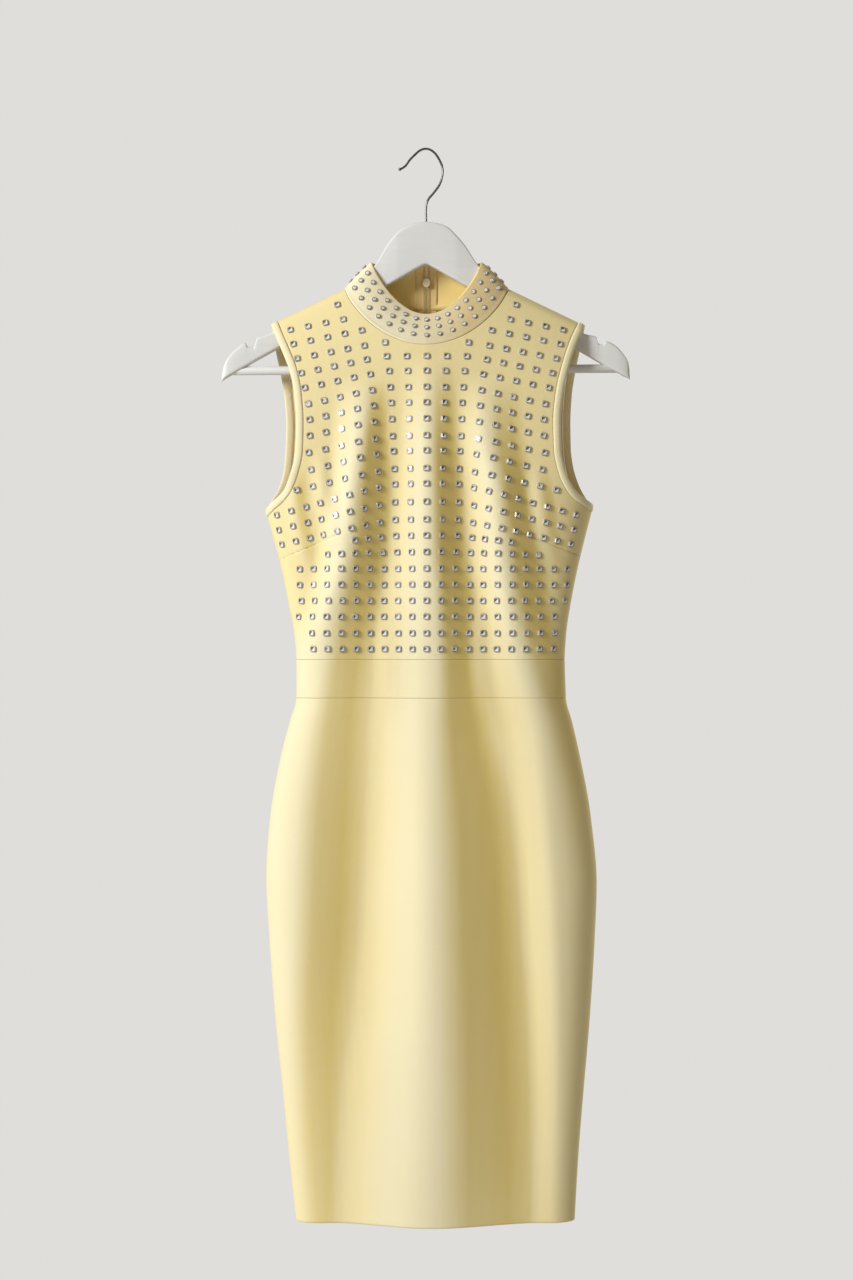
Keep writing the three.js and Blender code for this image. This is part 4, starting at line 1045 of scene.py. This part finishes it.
# Collar studs
# Smaller, rounder crystals in three rows round the front of the band, from one shoulder to the other.
# They are set in the same metal cups, before the band is folded and sewn.
COLLAR_STUD = 5.4
COLLAR_STUD_ROWS = [0.27, 0.52, 0.77]
COLLAR_STUD_PITCH = 13.4
COLLAR_STUDS_EACH_SIDE = 8

angles = np.linspace(0, math.pi, 121)
ring = collar_point(np.maximum(angles, 1e-6), np.full(121, 0.4))
ring_run = np.concatenate([[0], np.cumsum(np.linalg.norm(np.diff(ring, axis=0), axis=-1))])


def collar_spot(length, share):
    """A place on the collar by its length from the front's centre, and the direction out of it."""
    angle = np.sign(length) * np.interp(np.abs(length), ring_run, angles) + 1e-6
    out = collar_out(angle, share)
    return collar_point(angle, share) + out * (4 * share * (1 - share))[..., None], out


columns = np.arange(-COLLAR_STUDS_EACH_SIDE, COLLAR_STUDS_EACH_SIDE + 1) * COLLAR_STUD_PITCH
columns, shares = (k.ravel() for k in np.meshgrid(columns, COLLAR_STUD_ROWS))
collar_frames = []
for centre, beside, out in zip(collar_spot(columns, shares)[0], collar_spot(columns + 1, shares)[0],
                               collar_spot(columns, shares)[1]):
    out = Vector(out)
    across = Vector(beside - centre)
    across = (across - out * across.dot(out)).normalized()
    at = Matrix.Translation(Vector(centre) * MM)
    collar_frames.append(at @ Matrix((across, -across.cross(out), out)).transposed().to_4x4())
template = crystal_template(COLLAR_STUD, 1.7)
collar_studs_mesh = set_studs("collar_studs", collar_frames, template, 0.35, 0.9, 0.3)
bpy.data.meshes.remove(template)
collar_studs_mesh.materials.append(cup_metal)
collar_studs_mesh.materials.append(crystal_glass)
collar_studs = show(collar_studs_mesh, None, smoothed=False)

# Armhole bands
# A bias of the knit folded round each armhole and sewn down, so it stands as a smooth rounded cord.
BAND_SECTION = [
    (0.36, -1.9), (0.36, -0.5), (0.55, 0.2), (1.1, 0.72), (2.1, 1.0), (3.6, 1.12), (5.1, 1.02), (6.5, 0.72),
    (7.6, 0.15), (8.25, -0.6), (8.3, -1.3), (7.6, -1.95), (6.0, -2.25), (3.6, -2.35), (1.2, -2.25),
]


def ring_tube(name, sections):
    """A closed ring through equal sections: a grid rolled up both ways and welded."""
    count, sides = sections.shape[:2]
    places = np.concatenate([sections, sections[:1]], 0)
    places = np.concatenate([places, places[:, :1]], 1)
    along = np.concatenate([[0], np.cumsum(np.linalg.norm(np.diff(places[:, 0], axis=0), axis=-1))])
    around = np.concatenate([[0], np.cumsum(np.linalg.norm(np.diff(places[0], axis=0), axis=-1))])
    lengths = np.meshgrid(around, along)
    mesh = grid_mesh(name, places, (lengths[0], lengths[1]))
    bm = bmesh.new()
    bm.from_mesh(mesh)
    bmesh.ops.remove_doubles(bm, verts=bm.verts, dist=1e-6)
    bmesh.ops.recalc_face_normals(bm, faces=bm.faces)
    bm.to_mesh(mesh)
    bm.free()
    return mesh


def armhole_path(side):
    """Even points round one armhole, with the direction out of the cloth at each."""
    column = 1 if side < 0 else 3
    points = []
    outs = []
    for face, edges in ((-1, FRONT_ARMHOLE), (1, BACK_ARMHOLE)):
        share = 1 - (1 - np.linspace(0, 1, 900)) ** 2
        x, z = bodice_place(face, np.full(900, float(side)), share)
        z[-1] = shoulder(x[-1])
        point = on_cloth(face, x, z)
        out = out_of_cloth(face, x, z)
        order = slice(None) if face < 0 else slice(None, None, -1)
        points.append(point[order])
        outs.append(out[order])
    points = np.concatenate(points)
    outs = np.concatenate(outs)
    run = np.concatenate([[0], np.cumsum(np.linalg.norm(np.diff(points, axis=0), axis=-1))])
    even = np.linspace(0, run[-1], 261)[:-1]
    path = np.stack([np.interp(even, run, points[:, k]) for k in range(3)], -1)
    out = unit(np.stack([np.interp(even, run, outs[:, k]) for k in range(3)], -1))
    for _ in range(3):
        out = unit(np.roll(out, 1, 0) + 2 * out + np.roll(out, -1, 0))
    return path, out


for side, word in ((-1, "left"), (1, "right")):
    path, out = armhole_path(side)
    along = unit(np.roll(path, -1, 0) - np.roll(path, 1, 0))
    across = unit(np.cross(along, out))
    opening = np.array([side, 0, 0.6])
    across = np.where((across @ opening < 0)[:, None], -across, across)
    section = np.array(BAND_SECTION)
    sections = path[:, None] + across[:, None] * section[None, :, :1] + out[:, None] * section[None, :, 1:]
    mesh = ring_tube(f"armhole_band_{word}_cloth", sections)
    mesh.materials.append(yellow_knit)
    mesh.materials.append(yellow_reverse)
    piece = give_wall(show(mesh, f"armhole_band_{word}"), wall=0.9)

# Zip
# A concealed zip down the centre back: two woven tapes sewn inside the opening, a nylon coil on each,
# and a small enamelled slider at the top of the collar with its pull tab hanging outside.
ZIP_HALF = 11.5
ZIP_END = -735
COIL_PITCH = 1.3
TAPE_UNDER = 2.45
TAPE_WALL = 0.6
slider_low, slider_high = (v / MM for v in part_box("zip_slider"))


def zip_line(x):
    """The cloth's outer face beside the opening, from the zip's end up to the collar's top."""
    z = np.linspace(ZIP_END, -163, 160)
    lower = on_cloth(1, np.full_like(z, x), z)
    angle = np.full(12, math.pi - math.asin(min(1, x / 86)))
    share = np.linspace(0.05, 1, 12)
    upper = collar_point(angle, share) + collar_out(angle, share) * (4 * share * (1 - share))[:, None]
    upper[:, 0] = x
    line = np.concatenate([lower, upper])
    run = np.concatenate([[0], np.cumsum(np.linalg.norm(np.diff(line, axis=0), axis=-1))])
    return line, run


def zip_section(count):
    """Even stations up the zip: a point beside the opening and the direction out of the cloth."""
    line, run = zip_line(2.0)
    even = np.linspace(0, run[-1], count)
    point = np.stack([np.interp(even, run, line[:, k]) for k in range(3)], -1)
    along = unit(np.gradient(point, axis=0))
    for _ in range(6):
        along[1:-1] = unit(along[:-2] + 2 * along[1:-1] + along[2:])
    out = unit(np.cross(along, np.array([1.0, 0, 0])) * -1)
    return point, along, unit(out * np.sign(out[:, 1:2]))


tape_cloth, tree, shader = new_material("zip_tape")
lengths = tree.nodes.new("ShaderNodeUVMap")
lengths.uv_map = "lengths"
split = tree.nodes.new("ShaderNodeSeparateXYZ")
tree.links.new(lengths.outputs[0], split.inputs[0])
warp = link_math(tree, "SINE", link_math(tree, "MULTIPLY", split.outputs[0], 2 * math.pi / 0.0007))
weft = link_math(tree, "SINE", link_math(tree, "MULTIPLY", split.outputs[1], 2 * math.pi / 0.0009))
weave = link_math(tree, "MULTIPLY", warp, weft)
share = link_math(tree, "MULTIPLY_ADD", weave, 0.5, 0.5)
colour = mix_colour(tree, share, (0.84, 0.62, 0.26, 1), (0.92, 0.70, 0.32, 1))
tree.links.new(colour, shader.inputs["Base Color"])
bump = tree.nodes.new("ShaderNodeBump")
bump.inputs["Strength"].default_value = 0.5
bump.inputs["Distance"].default_value = 0.0001
tree.links.new(weave, bump.inputs["Height"])
tree.links.new(bump.outputs["Normal"], shader.inputs["Normal"])
shader.inputs["Roughness"].default_value = 0.8

coil_nylon, tree, shader = new_material("coil_nylon")
place = tree.nodes.new("ShaderNodeTexCoord")
speck = noise(tree, place.outputs["Object"], 600, 2.0)
tree.links.new(mix_colour(tree, speck, (0.66, 0.52, 0.25, 1), (0.80, 0.66, 0.36, 1)), shader.inputs["Base Color"])
shader.inputs["Roughness"].default_value = 0.42

for side, word in ((-1, "left"), (1, "right")):
    point, along, out = zip_section(480)
    at_slider = (point[:, 2] > slider_low.z) & (point[:, 2] < slider_high.z)
    edge = np.where(at_slider, 1.1, 0.03)
    across = np.linspace(0, 1, 8)
    x = edge[:, None] + (ZIP_HALF - edge[:, None]) * across[None]
    places = np.repeat(point[:, None], 8, 1) - out[:, None] * TAPE_UNDER
    places[..., 0] = side * x
    run = np.concatenate([[0], np.cumsum(np.linalg.norm(np.diff(point, axis=0), axis=-1))])
    mesh = grid_mesh(f"zip_tape_{word}_cloth", places, (x, np.repeat(run[:, None], 8, 1)))
    outward(mesh)
    mesh.materials.append(tape_cloth)
    tape = give_wall(show(mesh, f"zip_tape_{word}"), wall=TAPE_WALL)
    count = int(run[-1] / COIL_PITCH) - 2
    point, along, out = zip_section(count * 2)
    bm = bmesh.new()
    for k in range(0 if side < 0 else 1, count * 2 - 1, 2):
        made = bmesh.ops.create_cube(bm, size=1)
        reach = 1.6 if point[k, 2] > slider_low.z else 0.15
        size = Vector((3.7 - reach, 1.1, 0.75)) * MM
        for v in made["verts"]:
            wide = 0.8 if v.co.y < 0 else 1.0
            v.co = Vector((v.co.x * size.x * wide, v.co.y * size.y, v.co.z * size.z * wide))
        a = Vector(along[k])
        o = Vector(out[k])
        turn = Matrix((Vector((1, 0, 0)), o, a)).transposed().to_4x4()
        centre = Vector(point[k] - out[k] * (TAPE_UNDER + TAPE_WALL + 0.5))
        centre.x = side * (reach + 3.7) / 2
        bmesh.ops.transform(bm, matrix=Matrix.Translation(centre * MM) @ turn, verts=made["verts"])
    bmesh.ops.recalc_face_normals(bm, faces=bm.faces)
    coil_mesh = bpy.data.meshes.new(f"zip_coil_{word}")
    bm.to_mesh(coil_mesh)
    bm.free()
    coil_mesh.materials.append(coil_nylon)
    coil = show(coil_mesh, None, smoothed=False)

# Zip slider and pull tab
# The slider is pressed metal in cream enamel. Its plate runs on the coils inside the collar, a bridge
# comes out through the opening, and the tab hangs from the bridge on a pin.
cream_enamel, tree, shader = new_material("cream_enamel")
place = tree.nodes.new("ShaderNodeTexCoord")
flow = noise(tree, place.outputs["Object"], 260, 2.0)
tree.links.new(mix_colour(tree, flow, (0.80, 0.70, 0.46, 1), (0.90, 0.82, 0.60, 1)), shader.inputs["Base Color"])
tree.links.new(link_math(tree, "MULTIPLY_ADD", flow, 0.2, 0.22), shader.inputs["Roughness"])
shader.inputs["Coat Weight"].default_value = 0.4


def rounded_block(bm, low, high, radius, segments=2):
    """A block between two corners in millimetres, with its edges rounded."""
    made = bmesh.ops.create_cube(bm, size=1)
    size = Vector(high) - Vector(low)
    bmesh.ops.scale(bm, vec=size * MM, verts=made["verts"])
    bmesh.ops.translate(bm, vec=(Vector(high) + Vector(low)) / 2 * MM, verts=made["verts"])
    edges = list({e for v in made["verts"] for e in v.link_edges})
    bmesh.ops.bevel(bm, geom=edges, offset=radius * MM, segments=segments, profile=0.5,
                    affect="EDGES", material=-1, clamp_overlap=True)


def rounded_plate(bm, centre, half_wide, half_tall, thick, radius):
    """An oval plate that faces along Y, with its rims rounded."""
    made = bmesh.ops.create_cone(bm, cap_ends=True, segments=32, radius1=1, radius2=1, depth=1)
    bmesh.ops.scale(bm, verts=made["verts"], vec=Vector((half_wide, half_tall, thick)) * MM)
    bmesh.ops.rotate(bm, verts=made["verts"], cent=(0, 0, 0), matrix=Matrix.Rotation(math.pi / 2, 3, "X"))
    bmesh.ops.translate(bm, verts=made["verts"], vec=Vector(centre) * MM)
    rims = {e for v in made["verts"] for e in v.link_edges if any(len(f.verts) > 4 for f in e.link_faces)}
    bmesh.ops.bevel(bm, geom=list(rims), offset=radius * MM, segments=3, profile=0.5,
                    affect="EDGES", material=-1, clamp_overlap=True)


zip_y = slider_low.y + 7
zip_z = slider_low.z + 5
bm = bmesh.new()
rounded_plate(bm, (0, zip_y - 6.2, zip_z - 0.25), 4.0, 5.2, 1.8, 0.75)
rounded_block(bm, (-0.9, zip_y - 5.6, zip_z - 3.5), (0.9, zip_y + 1.5, zip_z + 3.5), 0.3)
rounded_block(bm, (-0.9, zip_y + 0.9, zip_z + 3.2), (0.9, zip_y + 4.4, zip_z + 4.6), 0.35)
rounded_block(bm, (-0.9, zip_y + 0.9, zip_z - 4.6), (0.9, zip_y + 4.4, zip_z - 3.2), 0.35)
rounded_block(bm, (-0.9, zip_y + 3.2, zip_z - 4.6), (0.9, zip_y + 4.4, zip_z + 4.6), 0.35)
slider_mesh = bpy.data.meshes.new("zip_slider_body")
bm.to_mesh(slider_mesh)
bm.free()
slider_mesh.materials.append(cream_enamel)
slider = show(slider_mesh, "zip_slider")

hinge_y = zip_y + 2.3
hinge_z = zip_z - 2.4
bm = bmesh.new()
rounded_block(bm, (-2.6, hinge_y - 0.5, hinge_z - 21), (2.6, hinge_y + 0.5, hinge_z - 3), 0.4, 3)
rounded_block(bm, (-2.6, hinge_y - 0.5, hinge_z - 3.3), (-1.25, hinge_y + 0.5, hinge_z + 0.5), 0.3)
rounded_block(bm, (1.25, hinge_y - 0.5, hinge_z - 3.3), (2.6, hinge_y + 0.5, hinge_z + 0.5), 0.3)
pin = bmesh.ops.create_cone(bm, cap_ends=True, segments=16, radius1=0.6 * MM, radius2=0.6 * MM, depth=5.2 * MM)
bmesh.ops.rotate(bm, verts=pin["verts"], cent=(0, 0, 0), matrix=Matrix.Rotation(math.pi / 2, 3, "Y"))
bmesh.ops.translate(bm, verts=pin["verts"], vec=(0, hinge_y * MM, hinge_z * MM))
tab_mesh = bpy.data.meshes.new("zip_pull_tab_body")
bm.to_mesh(tab_mesh)
bm.free()
tab_mesh.materials.append(cream_enamel)
tab = show(tab_mesh, "zip_pull_tab", body="pull_tab")

# Hanger
# A flat wooden hanger sawn from one board, with rounded edges, notched arms and a turned trouser bar,
# all sprayed in white satin paint. The dress hangs on its arms.
# x, top, bottom, thickness
BOARD = [
    [-215, -238, -243.2, 5],
    [-213, -228, -241.5, 9],
    [-208, -218, -238.5, 11.5],
    [-200, -209.5, -234, 12],
    [-190, -203, -228.2, 12],
    [-187.5, -206.5, -226.8, 12],
    [-181, -207, -223, 12],
    [-177.5, -197.5, -221, 12],
    [-168, -194, -215.7, 12],
    [-120, -170.5, -188.3, 12],
    [-86, -153, -168.9, 11.5],
    [-70, -139, -159.8, 10.5],
    [-54, -121, -150.6, 9.4],
    [-39, -96.5, -142, 11],
    [-29, -85.5, -136.3, 12],
    [-20, -80, -131.2, 12],
    [-9, -76.8, -124.9, 12],
    [0, -76, -121, 12],
    [9, -76.8, -124.9, 12],
    [21, -80.5, -131.8, 12],
    [30, -88.5, -136.9, 12],
    [39, -98.5, -142, 11],
    [54, -121, -150.6, 9.4],
    [70, -139, -159.8, 10.5],
    [86, -153, -168.9, 11.5],
    [120, -170.5, -188.3, 12],
    [168, -194, -215.7, 12],
    [178, -196.5, -221.5, 12],
    [181, -204, -223.2, 12],
    [185, -204, -225.5, 12],
    [188, -201, -227.2, 12],
    [200, -207, -233.5, 12],
    [207, -215, -237.5, 11],
    [211.5, -222, -239.6, 9],
    [213.5, -233, -241, 5],
]

white_paint, tree, shader = new_material("white_paint")
place = tree.nodes.new("ShaderNodeTexCoord")
grain_scale = tree.nodes.new("ShaderNodeMapping")
grain_scale.inputs["Scale"].default_value = (0.12, 1, 1)
tree.links.new(place.outputs["Object"], grain_scale.inputs["Vector"])
grain = noise(tree, grain_scale.outputs[0], 240, 4.0, 0.6)
peel = noise(tree, place.outputs["Object"], 520, 1.0)
tree.links.new(mix_colour(tree, grain, (0.72, 0.73, 0.745, 1), (0.78, 0.79, 0.80, 1)), shader.inputs["Base Color"])
tree.links.new(link_math(tree, "MULTIPLY_ADD", grain, 0.15, 0.36), shader.inputs["Roughness"])
bump = tree.nodes.new("ShaderNodeBump")
bump.inputs["Strength"].default_value = 0.25
bump.inputs["Distance"].default_value = 0.0002
height = link_math(tree, "ADD", link_math(tree, "MULTIPLY", grain, 0.6), link_math(tree, "MULTIPLY", peel, 0.4))
tree.links.new(height, bump.inputs["Height"])
tree.links.new(bump.outputs["Normal"], shader.inputs["Normal"])


def tube_mesh(name, sections):
    """A solid through equal sections: a grid rolled up, welded and closed at its two ends."""
    places = np.concatenate([sections, sections[:, :1]], 1)
    mesh = grid_mesh(name, places)
    bm = bmesh.new()
    bm.from_mesh(mesh)
    bmesh.ops.remove_doubles(bm, verts=bm.verts, dist=1e-7)
    bmesh.ops.holes_fill(bm, edges=[e for e in bm.edges if e.is_boundary], sides=0)
    bmesh.ops.recalc_face_normals(bm, faces=bm.faces)
    bm.to_mesh(mesh)
    bm.free()
    return mesh


def board_sections():
    x = np.concatenate([
        np.linspace(-215, -207, 9), np.linspace(-205, -192, 8), np.linspace(-190.5, -176, 24),
        np.linspace(-174, -74, 40), np.linspace(-72, 72, 73), np.linspace(74, 176, 40),
        np.linspace(177, 190, 22), np.linspace(192, 205, 8), np.linspace(206.5, 213.5, 9),
    ])
    top = smooth(BOARD, 1, x)
    bottom = smooth(BOARD, 2, x)
    half = smooth(BOARD, 3, x) / 2
    tall = (top - bottom) / 2
    angle = 2 * math.pi * (np.arange(36) + 0.5) / 36
    c = np.cos(angle)
    s = np.sin(angle)
    round_y = np.sign(c) * np.abs(c) ** 0.45
    round_z = np.sign(s) * np.abs(s) ** 0.45
    corner = np.minimum(1, half / tall)[:, None]
    upright = np.sign(round_z) * (1 - (1 - np.abs(round_z)) * corner)
    spread = np.where(np.abs(round_z) < 0.02, 0, upright)
    y = half[:, None] * round_y[None]
    z = (top + bottom)[:, None] / 2 + tall[:, None] * spread
    return np.stack([np.repeat(x[:, None], 36, 1), y, z], -1)


board_mesh = tube_mesh("hanger_board", board_sections())
board_mesh.materials.append(white_paint)
board = show(board_mesh, "hanger_body")

BAR = 9
bar_start = Vector((-203, 0, -232)) * MM
bar_end = Vector((200, 0, -229.5)) * MM
bm = bmesh.new()
bmesh.ops.create_cone(bm, cap_ends=True, segments=40, radius1=BAR / 2 * MM, radius2=BAR / 2 * MM,
                      depth=(bar_end - bar_start).length)
turn = Vector((0, 0, 1)).rotation_difference(bar_end - bar_start).to_matrix().to_4x4()
bmesh.ops.transform(bm, matrix=Matrix.Translation((bar_start + bar_end) / 2) @ turn, verts=bm.verts)
rims = [e for e in bm.edges if any(len(f.verts) > 4 for f in e.link_faces)]
bmesh.ops.bevel(bm, geom=rims, offset=0.8 * MM, segments=2, profile=0.5, affect="EDGES", material=-1)
bar_mesh = bpy.data.meshes.new("hanger_trouser_bar")
bm.to_mesh(bar_mesh)
bm.free()
bar_mesh.materials.append(white_paint)
bar = show(bar_mesh, "hanger_bar")

# Hook
# Steel wire, cold bent and screwed into the top of the board, with a small ball on its tip.
WIRE = 2.4
HOOK = [
    (-0.2, -89), (-0.2, -74), (-0.2, -60), (1.6, -52.5), (7.6, -45), (13.6, -36.5), (16.8, -27), (17, -19.5),
    (14.6, -12.5), (9.4, -4), (3.6, 0.4), (-1.6, 1.25), (-7, -0.6), (-13.2, -6), (-18, -11), (-22, -16.6),
    (-25.3, -19), (-29.6, -21),
]


def through(points, count):
    """A smooth line through points, spaced evenly along it."""
    p = np.array(points, float)
    knot = np.concatenate([[0], np.cumsum(np.linalg.norm(np.diff(p, axis=0), axis=-1) ** 0.5)])
    tangent = np.gradient(p, knot, axis=0)
    at = np.linspace(0, knot[-1], count * 8)
    i = np.clip(np.searchsorted(knot, at) - 1, 0, len(p) - 2)
    h = (knot[i + 1] - knot[i])[:, None]
    u = ((at - knot[i]) / h[:, 0])[:, None]
    line = (1 + 2 * u) * (1 - u) ** 2 * p[i] + u * (1 - u) ** 2 * h * tangent[i]
    line = line + u * u * (3 - 2 * u) * p[i + 1] + u * u * (u - 1) * h * tangent[i + 1]
    run = np.concatenate([[0], np.cumsum(np.linalg.norm(np.diff(line, axis=0), axis=-1))])
    even = np.linspace(0, run[-1], count)
    return np.stack([np.interp(even, run, line[:, k]) for k in range(p.shape[1])], -1), run[-1]


wire_line, wire_run = through(HOOK, 140)
wire_line = np.stack([wire_line[:, 0], np.zeros(140), wire_line[:, 1]], -1)
wire_along = unit(np.gradient(wire_line, axis=0))
wire_up = np.stack([-wire_along[:, 2], np.zeros(140), wire_along[:, 0]], -1)
left_over = wire_run * (1 - np.linspace(0, 1, 140))
ball = 1.75
radius = np.where(left_over < 2 * ball, np.sqrt(np.maximum(ball ** 2 - (left_over - ball) ** 2, 0.01)), 0)
radius = np.maximum(radius, np.where(left_over > ball, WIRE / 2, 0))
angle = 2 * math.pi * np.arange(16) / 16
hook_sections = wire_line[:, None] + radius[:, None, None] * (
    np.cos(angle)[None, :, None] * wire_up[:, None] + np.sin(angle)[None, :, None] * np.array([0, 1.0, 0])
)
hook_mesh = tube_mesh("hanger_wire_hook", hook_sections)

dark_steel, tree, shader = new_material("dark_steel")
place = tree.nodes.new("ShaderNodeTexCoord")
drawn = noise(tree, place.outputs["Object"], 380, 3.0)
tree.links.new(mix_colour(tree, drawn, (0.10, 0.10, 0.11, 1), (0.26, 0.26, 0.27, 1)), shader.inputs["Base Color"])
tree.links.new(link_math(tree, "MULTIPLY_ADD", drawn, 0.25, 0.22), shader.inputs["Roughness"])
shader.inputs["Metallic"].default_value = 1.0
hook_mesh.materials.append(dark_steel)
hook = show(hook_mesh, "hanger_hook")

# Studio
# A plain pale floor below the dress, a large soft light from the upper left, a weak one behind, and a
# pale room all round.
bm = bmesh.new()
bmesh.ops.create_circle(bm, cap_ends=True, segments=96, radius=2.9)
bmesh.ops.translate(bm, verts=bm.verts, vec=(0, 0, -2.0))
floor_mesh = bpy.data.meshes.new("studio_floor")
bm.to_mesh(floor_mesh)
bm.free()
floor = bpy.data.objects.new("studio_floor", floor_mesh)
bpy.context.scene.collection.objects.link(floor)
floor_paint, tree, shader = new_material("floor_paint")
place = tree.nodes.new("ShaderNodeTexCoord")
cloudy = noise(tree, place.outputs["Object"], 1.5, 2.0)
tree.links.new(mix_colour(tree, cloudy, (0.72, 0.71, 0.69, 1), (0.76, 0.75, 0.73, 1)), shader.inputs["Base Color"])
shader.inputs["Roughness"].default_value = 0.9
floor_mesh.materials.append(floor_paint)


def soft_light(name, place, aim, size, power, colour):
    data = bpy.data.lights.new(name, "AREA")
    data.shape = "DISK"
    data.size = size
    data.energy = power
    data.color = colour
    lamp = bpy.data.objects.new(name, data)
    lamp.location = place
    lamp.rotation_euler = (Vector(aim) - Vector(place)).to_track_quat("-Z", "Y").to_euler()
    lamp.visible_camera = False
    bpy.context.scene.collection.objects.link(lamp)


soft_light("key_light", (-3.2, -2.25, 1.0), (0, 0, -0.6), 1.55, 172, (1, 1, 0.985))
soft_light("back_light", (1.9, 2.1, 0.4), (0, 0, -0.6), 1.4, 40, (1, 0.985, 0.96))
bpy.context.scene.view_settings.view_transform = "Standard"
world = bpy.data.worlds.new("pale_room")
bpy.context.scene.world = world
world.use_nodes = True
tree = world.node_tree
room_light = tree.nodes["Background"]
room_light.inputs["Color"].default_value = (0.97, 0.87, 0.68, 1)
room_light.inputs["Strength"].default_value = 0.27
room_wall = tree.nodes.new("ShaderNodeBackground")
room_wall.inputs["Color"].default_value = (0.74, 0.73, 0.71, 1)
seen = tree.nodes.new("ShaderNodeLightPath")
either = tree.nodes.new("ShaderNodeMixShader")
tree.links.new(seen.outputs["Is Camera Ray"], either.inputs[0])
tree.links.new(room_light.outputs[0], either.inputs[1])
tree.links.new(room_wall.outputs[0], either.inputs[2])
tree.links.new(either.outputs[0], tree.nodes["World Output"].inputs["Surface"])

camera_data = bpy.data.cameras.new("camera")
camera_data.lens = 69.64
camera_data.sensor_width = 36
camera = bpy.data.objects.new("camera", camera_data)
camera.location = (0, -2.6, -0.5145)
camera.rotation_euler = (math.pi / 2, 0, 0)
bpy.context.scene.collection.objects.link(camera)
bpy.context.scene.camera = camera
